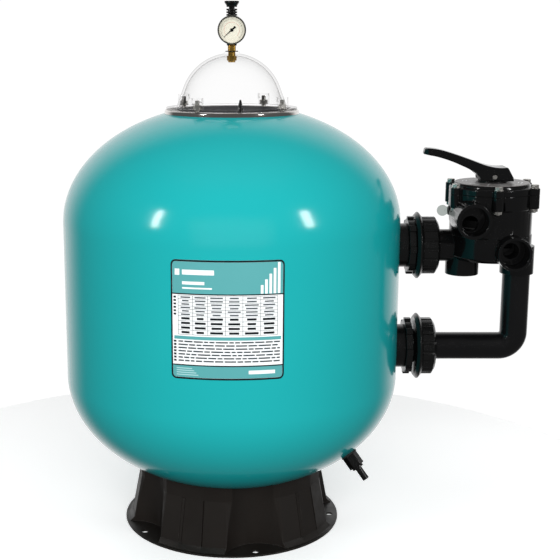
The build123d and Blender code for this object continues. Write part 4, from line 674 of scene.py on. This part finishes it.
@dataclass
class DataLabel:
    """The printed film: a header, a ruled table, bars in place of words, and a footer.

    Every patch is a curved rectangle on the cylinder, given by its left, right, bottom and top
    on the unrolled film, measured from the film's lower left corner. Heights are millimetres,
    and the film is width units across, whatever its real width is.
    """

    frame: Frame
    turn: float = math.radians(-91.3)
    chord: float = 0.181
    width: float = 213.0
    height: float = 196.0
    corner: float = 9.0
    # Metres: the film stands this far off the shell, is this thick, and each ink is this high
    stand_off: float = 0.0002
    thickness: float = 0.00015
    lift: float = 0.0001
    # Each ink lies a share of that height over the one before, and the border over them all
    ink_step: float = 0.2
    border_lifts: float = 2.4
    border_width: float = 2.9
    patches: dict[Surface, list[Patch]] = field(default_factory=dict)
    base: float = field(default=0.0, init=False)
    radius: float = field(default=0.0, init=False)
    half_turn: float = field(default=0.0, init=False)
    table_foot: float = field(default=0.0, init=False)

    def build(self) -> None:
        """Make the film and one piece for each ink."""
        self.base = self.frame.box("data_label")[0].z
        self.radius = self.frame.box("tank_shell")[1].x + self.stand_off
        self.half_turn = math.asin(self.chord / 2 / self.radius)
        self.film()
        self.header()
        self.table()
        self.small_print()
        self.footer()
        for level, (surface, rows) in enumerate(self.patches.items()):
            self.print_ink(surface, rows, self.radius + self.lift * (1 + self.ink_step * level))

    def wrap(self, across: np.ndarray, up: np.ndarray, radius: float) -> np.ndarray:
        """Lay film coordinates on the cylinder: the share across gives the angle."""
        angle = self.turn + (2 * across / self.width - 1) * self.half_turn
        return np.stack(
            [radius * np.cos(angle), radius * np.sin(angle), self.base + up * MM], axis=-1
        )

    def film(self) -> None:
        """The white film with rounded corners, a thin closed sheet round the shell."""
        across = np.linspace(0, self.width, 65)
        short = np.minimum(across, self.width - across)
        inset = np.where(
            short < self.corner,
            self.corner - np.sqrt(np.maximum(0, self.corner**2 - (self.corner - short) ** 2)),
            0.0,
        )
        share = np.linspace(0, 1, 12)[None, :]
        up = inset[:, None] + share * (self.height - 2 * inset[:, None])
        front = self.wrap(across[:, None] + 0 * share, up, self.radius)
        back = self.wrap(across[:, None] + 0 * share, up, self.radius - self.thickness)
        ring = np.concatenate([front, back[:, ::-1]], axis=1)
        mesh = grid_mesh("film", ring, close_v=True)
        piece = link_piece("label_film", mesh)
        sharp_by_angle(mesh, 40)
        self.frame.adopt(piece, "data_label", Surface.FILM)

    def add(self, surface: Surface, left: float, right: float, bottom: float, top: float) -> None:
        """Remember one printed rectangle."""
        self.patches.setdefault(surface, []).append((left, right, bottom, top))

    def header(self) -> None:
        """Teal block with rising white bars at its right and white bars in place of titles."""
        self.add(Surface.INK_TEAL, 3.0, 210.0, 141.0, 193.0)
        for step in range(5):
            side = 168.0 + step * 8.0
            self.add(Surface.INK_WHITE, side, side + 5.0, 142.0, 192.0 - 9.0 * (4 - step))
        self.add(Surface.INK_WHITE, 22.0, 82.0, 172.0, 180.0)
        self.add(Surface.INK_WHITE, 8.0, 17.0, 171.0, 181.0)
        self.add(Surface.INK_WHITE, 22.0, 64.0, 156.0, 161.0)
        self.add(Surface.INK_WHITE, 22.0, 78.0, 149.0, 151.5)

    def table(self) -> None:
        """Ruled grid of six columns with bars for its entries, bolder in the last four rows.

        Each of the six thin rows also has a small black block at its left.
        """
        edges = (14.0, 42.0, 70.0, 103.0, 135.0, 168.0, 200.0)
        top, thin, bold, thin_rows = 138.0, 5.6, 7.6, 6
        levels = [top - row * thin for row in range(thin_rows + 1)]
        levels += [levels[-1] - row * bold for row in range(1, 5)]
        for level in levels:
            self.add(Surface.INK_GREY, edges[0], edges[-1], level - 0.3, level + 0.3)
        for edge in edges:
            self.add(Surface.INK_GREY, edge - 0.35, edge + 0.35, levels[-1], levels[0])
        draw = np.random.default_rng(7)
        for row, (upper, lower) in enumerate(zip(levels[:-1], levels[1:])):
            heavy = row >= thin_rows
            middle = (upper + lower) / 2
            half = (upper - lower) * (0.24 if heavy else 0.2)
            ink = Surface.INK_DARK if heavy else Surface.INK_GREY
            if not heavy:
                self.add(Surface.INK_DARK, 5.0, 10.0, middle - 1.5, middle + 1.5)
            for left, right in zip(edges[:-1], edges[1:]):
                reach = (right - left) * draw.uniform(0.45, 0.78) / 2
                centre = (left + right) / 2
                self.add(ink, centre - reach, centre + reach, middle - half, middle + half)
        self.table_foot = levels[-1]

    def small_print(self) -> None:
        """Teal strip under the table and a block of broken lines in place of words.

        Each line starts with a small black block.
        """
        foot = self.table_foot
        self.add(Surface.INK_TEAL, 6.0, 207.0, foot - 8.0, foot - 2.5)
        draw = np.random.default_rng(11)
        level = foot - 12.5
        while level > 27.0:
            self.add(Surface.INK_DARK, 5.0, 10.0, level - 0.6, level + 2.6)
            at = 14.0
            while at < 200.0:
                length = draw.uniform(7.0, 24.0)
                end = min(at + length, 205.0)
                self.add(Surface.INK_GREY, at, end, level - 0.1, level + 2.3)
                at = end + 2.4
            level -= 5.3

    def footer(self) -> None:
        """Teal band at the foot with pale bars, two black cross lines and the border."""
        self.add(Surface.INK_TEAL, 3.0, 210.0, 3.0, 23.0)
        self.add(Surface.INK_WHITE, 146.0, 196.0, 10.0, 16.0)
        for bar in range(4):
            self.add(Surface.INK_PALE, 10.0, 52.0 - 4.0 * bar, 6.5 + bar * 3.6, 8.0 + bar * 3.6)
        for level in (23.4, 140.6):
            self.add(Surface.INK_DARK, 1.5, self.width - 1.5, level - 1.0, level + 1.0)
        self.border()

    def outline(self, inset: float, steps: int = 9, stretch: int = 24) -> np.ndarray:
        """Points round the film's rounded rectangle, pulled in by an inset.

        Each corner is a quarter circle about the corner's centre, and each side is divided
        evenly so that it can follow the shell's curve.

        Args:
            inset: distance inside the film's edge.
            steps: points on each corner.
            stretch: points on each side.

        Returns:
            Closed loop of (across, up) points.
        """
        radius = self.corner - inset
        far, top = self.width - self.corner, self.height - self.corner
        centres = ((far, top), (self.corner, top), (self.corner, self.corner), (far, self.corner))
        loop = []
        for number, (x, y) in enumerate(centres):
            angle = np.linspace(0, math.pi / 2, steps) + number * math.pi / 2
            arc = np.stack([x + radius * np.cos(angle), y + radius * np.sin(angle)], -1)
            after = centres[(number + 1) % 4]
            turn = (number + 1) * math.pi / 2
            goal = np.array(after) + radius * np.array([math.cos(turn), math.sin(turn)])
            side = arc[-1] + np.linspace(0, 1, stretch)[1:-1, None] * (goal - arc[-1])
            loop += [arc, side]
        return np.concatenate(loop)

    def border(self) -> None:
        """Black line that follows the film's edge, a closed band between two outlines."""
        outer, inner = self.outline(0.0), self.outline(self.border_width)
        radius = self.radius + self.border_lifts * self.lift
        band = np.stack([self.wrap(*loop.T, radius) for loop in (outer, inner)], 1)
        mesh = grid_mesh("border", band, close_u=True)
        piece = link_piece("label_border", mesh)
        self.frame.adopt(piece, "data_label", Surface.INK_DARK, replace=False)

    def print_ink(self, surface: Surface, rows: list[Patch], radius: float) -> None:
        """Turn all rectangles of one ink into one mesh.

        Each rectangle is divided across so that no face spans more than 6 units of the curve;
        every cell's four corners are laid on the cylinder at the ink's own radius.

        Args:
            surface: the ink.
            rows: its rectangles.
            radius: radius of the ink's layer.
        """
        widest = 6.0
        cells = []
        for left, right, bottom, top in rows:
            cuts = np.linspace(left, right, max(2, int((right - left) / widest) + 2))
            level = np.ones(len(cuts) - 1)
            cells.append(np.stack([cuts[:-1], cuts[1:], bottom * level, top * level], -1))
        cell = np.concatenate(cells)
        across = cell[:, [0, 1, 1, 0]]
        up = cell[:, [2, 2, 3, 3]]
        points = self.wrap(across, up, radius).reshape(-1, 3)
        faces = np.arange(len(points)).reshape(-1, 4)
        name = surface.name.lower()
        piece = link_piece(f"label_{name}", face_mesh(name, points, faces))
        self.frame.adopt(piece, "data_label", surface, replace=False)


@dataclass
class Body:
    """Ring, neck, skirt and the fittings that only need their true finish and softer edges."""

    frame: Frame

    def build(self) -> None:
        """Dress the fixed parts of the tank."""
        self.frame.refine("base_skirt", Surface.SKIRT, 1.0, 20.0)
        self.frame.refine("neck_ring", Surface.POLISHED, 0.0, 40.0)
        self.frame.refine("neck_collar", Surface.NECK, 0.4)
        for node in ("lid_studs", "lid_nuts", "lid_washers"):
            self.frame.refine(node, Surface.STEEL, 0.25)
        for node in ("bulkhead_spacers", "bulkhead_nuts"):
            self.frame.refine(node, Surface.FITTING, 0.8)
        for side in ("upper", "lower"):
            self.frame.refine(f"union_flange_{side}", Surface.FITTING, 0.8)
            self.frame.refine(f"union_nut_{side}", Surface.FITTING, 0.7)
            self.frame.refine(f"bulkhead_{side}", Surface.FITTING, 0.0)
        self.frame.refine("return_pipe", Surface.PIPE, 0.0, 40.0)
        for node in ("drain_body", "drain_spigot"):
            self.frame.refine(node, Surface.FITTING, 0.5)


@dataclass
class Lid:
    """Clear dome, and the brass, gauge and bleed on top of it."""

    frame: Frame
    scale_angle: float = 270.0
    black_steps: int = 40
    red_steps: int = 24

    def build(self) -> None:
        """Dress the lid and print the dial."""
        self.frame.refine("lid_dome", Surface.DOME, 0.0, 40.0)
        for node in ("gauge_adaptor", "adaptor_nut", "gauge_stem"):
            self.frame.refine(node, Surface.BRASS, 0.35)
        self.frame.refine("gauge_case", Surface.ENAMEL, 0.4)
        self.frame.refine("gauge_bezel", Surface.ENAMEL, 0.0, 40.0)
        self.frame.refine("gauge_lens", Surface.LENS, 0.0, 40.0)
        self.frame.paint("gauge_dial", Surface.DIAL)
        self.frame.refine("gauge_needle", Surface.NEEDLE, 0.0)
        for node in ("bleed_body", "bleed_knob"):
            self.frame.refine(node, Surface.FITTING, 0.4)
        self.frame.refine("air_tube", Surface.FITTING, 0.0)
        self.dial_print()

    def dial_print(self) -> None:
        """Print the dial: a black outer scale, a fine red inner one, and their strokes.

        An arc is a band between two radii; each stroke is the same band over a small angle.
        """
        start = math.radians(-self.scale_angle / 2)
        sweep = math.radians(self.scale_angle)
        black = [(start, start + sweep, 0.0188, 0.0191)]
        red = [(start, start + sweep, 0.0134, 0.0137)]
        for stroke in range(self.black_steps + 1):
            at = start + sweep * stroke / self.black_steps
            long = stroke % 10 == 0
            half = 0.012 if long else 0.006
            black.append((at - half, at + half, 0.0162 if long else 0.0175, 0.0190))
        for stroke in range(self.red_steps + 1):
            at = start + sweep * stroke / self.red_steps
            red.append((at - 0.008, at + 0.008, 0.0118 if stroke % 6 == 0 else 0.0126, 0.0136))
        self.arc_piece("dial_black_scale", black, Surface.INK_DARK, 0.00008)
        self.arc_piece("dial_red_scale", red, Surface.INK_RED, 0.00010)

    def arc_piece(self, name: str, bands: list[Band], surface: Surface, lift: float) -> None:
        """Make one piece of flat bands in front of the dial.

        A point at clock angle a and radius r is (cx + r sin a, y, cz + r cos a).

        Args:
            name: name of the piece.
            bands: the bands, by clock angle.
            surface: the ink.
            lift: how far in front of the dial the ink lies, in metres.
        """
        centre = self.frame.centre("gauge_dial")
        depth = self.frame.box("gauge_dial")[0].y - lift

        def place(radius: float, angle: np.ndarray) -> np.ndarray:
            """Points of one radius at clock angles."""
            across = centre.x + radius * np.sin(angle)
            up = centre.z + radius * np.cos(angle)
            return np.stack([across, np.full_like(angle, depth), up], -1)

        def count(span: float) -> int:
            """Enough cuts that none is wider than 0.08 radians."""
            return max(2, int(span / 0.08) + 2)

        mesh = band_mesh(name, bands, place, count, flip=False)
        self.frame.adopt(link_piece(name, mesh), "gauge_dial", surface, replace=False)


@dataclass
class Valve:
    """The multiport valve, its lever and its hardware."""

    frame: Frame
    positions: int = 6

    def build(self) -> None:
        """Dress the valve."""
        self.frame.refine("valve_body", Surface.VALVE, 1.0, 30.0)
        self.frame.refine("valve_cover", Surface.VALVE, 0.8, 30.0)
        self.frame.refine("handle", Surface.VALVE, 2.2, 28.0)
        self.frame.refine("selector_plate", Surface.SELECTOR, 0.2)
        self.frame.refine("turn_washer", Surface.FITTING, 0.3)
        for node in ("cover_bolts", "cover_nuts", "cover_washers", "handle_pin"):
            self.frame.refine(node, Surface.STEEL, 0.3)
        self.frame.refine("wing_plug", Surface.PLUG, 0.5)
        self.frame.refine("rotor", Surface.FITTING, 0.4)
        self.plate_print()

    def plate_print(self) -> None:
        """Print pale sector lines and ticks on the selector plate, one sector a position.

        A point at angle a and radius r is (cx + r cos a, cy + r sin a, z).
        """
        centre = self.frame.centre("selector_plate")
        height = self.frame.box("selector_plate")[1].z + 0.00008
        bands = []
        for sector in range(self.positions):
            at = math.radians(sector * 360 / self.positions - 50)
            bands.append((at - 0.008, at + 0.008, 0.034, 0.062))
            bands.append((at + 0.30, at + 0.75, 0.052, 0.0535))
            bands.append((at + 0.36, at + 0.69, 0.046, 0.0475))

        def place(radius: float, angle: np.ndarray) -> np.ndarray:
            """Points of one radius at angles about the lever's axis."""
            across = centre.x + radius * np.cos(angle)
            away = centre.y + radius * np.sin(angle)
            return np.stack([across, away, np.full_like(angle, height)], -1)

        mesh = band_mesh("plate_print", bands, place, lambda span: 9, flip=True)
        piece = link_piece("selector_print", mesh)
        self.frame.adopt(piece, "selector_plate", Surface.INK_WHITE, replace=False)


@dataclass
class Inside:
    """Pieces that are mostly out of sight and keep their CAD shape."""

    frame: Frame
    natural: tuple[str, ...] = ("inlet_pipe", "diffuser", "outlet_pipe", "lateral_hub", "laterals")
    rubber: tuple[str, ...] = (
        "lid_seal", "adaptor_seal", "bleed_seal", "bulkhead_gaskets", "union_seals", "cover_seal",
        "stem_seals", "spider_gasket", "drain_seal",
    )

    def build(self) -> None:
        """Give each inner piece its finish."""
        for node in self.natural:
            self.frame.paint(node, Surface.NATURAL)
        for node in self.rubber:
            self.frame.paint(node, Surface.RUBBER)
        self.frame.paint("bourdon_tube", Surface.BRASS)
        self.frame.paint("rotor_spring", Surface.STEEL)
        self.frame.paint("drain_nut", Surface.FITTING)


# ---------------------------------------------------------------- studio


@dataclass
class Studio:
    """White table, white cove, four soft boxes and the camera."""

    lens_mm: float = 74.07
    camera_at: tuple[float, float, float] = (0.0, -2.0818, 0.900)
    pitch: float = math.radians(12.01)
    shift_x: float = 0.0861
    front_level: float = 0.11
    table_radius: float = 0.85
    table_thickness: float = 0.01
    lit_point: tuple[float, float, float] = (0.0, 0.0, 0.55)

    def build(self) -> None:
        """Set up the stage, the lights and the camera."""
        self.surround()
        self.floor()
        self.lights()
        self.camera()

    def surround(self) -> None:
        """A lit white cove behind the tank that falls off towards the darker side of the room."""
        world = bpy.data.worlds.new("white_cove")
        bpy.context.scene.world = world
        world.use_nodes = True
        tree = world.node_tree
        heading = add_node(tree, "ShaderNodeTexCoord").outputs["Generated"]
        split = add_node(tree, "ShaderNodeSeparateXYZ", {"Vector": heading})
        level = add_node(
            tree,
            "ShaderNodeMapRange",
            {
                "Value": split.outputs["Y"],
                "From Min": 0.45,
                "From Max": 0.86,
                "To Min": self.front_level,
                "To Max": 1.02,
            },
            interpolation_type="SMOOTHSTEP",
        )
        tree.links.new(level.outputs["Result"], tree.nodes["Background"].inputs["Strength"])
        tree.nodes["Background"].inputs["Color"].default_value = (1.0, 1.0, 1.0, 1.0)

    def floor(self) -> None:
        """A round table of white acrylic, lit from below, that the skirt stands on.

        It gives no bounce and no mirror image to the tank, so that the black plastics stay black.
        """
        edge, under = self.table_radius, -self.table_thickness
        rim = np.array([[0.0, 0.0], [edge, 0.0], [edge, under], [0.0, under]])
        mesh = grid_mesh("floor", lathe_points(rim, 96), close_u=True)
        sharp_by_angle(mesh, 40)
        piece = link_piece("studio_floor", mesh)
        finish = Finish(
            "backlit_white_acrylic", "#FFFFFF", "#FCFCFC", 0.6, drift_mm=900.0, glow=0.36
        )
        mesh.materials.append(finish.make())
        piece.visible_diffuse = piece.visible_glossy = False

    def area(
        self,
        name: str,
        at: tuple[float, float, float],
        size: tuple[float, float],
        power: float,
        mirrored: bool = True,
    ) -> None:
        """Place one rectangular soft box that faces the middle of the tank.

        Args:
            name: name of the light.
            at: where it stands.
            size: width and height.
            power: radiant power in watts.
            mirrored: whether glossy surfaces show its outline.
        """
        data = bpy.data.lights.new(name, "AREA")
        data.shape = "RECTANGLE"
        data.size, data.size_y = size
        data.energy = power
        lamp = bpy.data.objects.new(name, data)
        bpy.context.scene.collection.objects.link(lamp)
        lamp.location = at
        aim = Vector(self.lit_point) - Vector(at)
        lamp.rotation_euler = aim.to_track_quat("-Z", "Y").to_euler()
        lamp.visible_glossy = mirrored

    def lights(self) -> None:
        """Two tall boxes either side of the camera, a broad one behind it and one overhead."""
        self.area("left_box", (-2.05, -1.75, 1.60), (0.18, 0.9), 14.0)
        self.area("right_box", (2.10, -1.75, 1.60), (0.26, 0.9), 16.0)
        self.area("front_fill", (0.0, -3.2, 1.2), (3.0, 2.0), 118.0, mirrored=False)
        self.area("overhead_box", (0.0, -0.3, 2.9), (2.4, 1.8), 16.0, mirrored=False)

    def camera(self) -> None:
        """The camera, a little above the lid's height and pitched down."""
        data = bpy.data.cameras.new("camera")
        data.lens = self.lens_mm
        data.sensor_width = 36.0
        data.shift_x = self.shift_x
        eye = bpy.data.objects.new("camera", data)
        bpy.context.scene.collection.objects.link(eye)
        eye.location = self.camera_at
        eye.rotation_euler = (math.pi / 2 - self.pitch, 0.0, 0.0)
        bpy.context.scene.camera = eye


def main() -> None:
    """Load the frame, dress it assembly by assembly, and set up the studio."""
    logging.basicConfig(level=logging.INFO, format="%(message)s")
    frame = Frame.load()
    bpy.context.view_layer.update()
    for assembly in (Shell, DataLabel, Body, Lid, Valve, Inside):
        assembly(frame).build()
    Studio().build()
    bpy.context.scene.view_settings.view_transform = "Standard"
    bpy.context.view_layer.update()


if __name__ == "__main__":
    main()
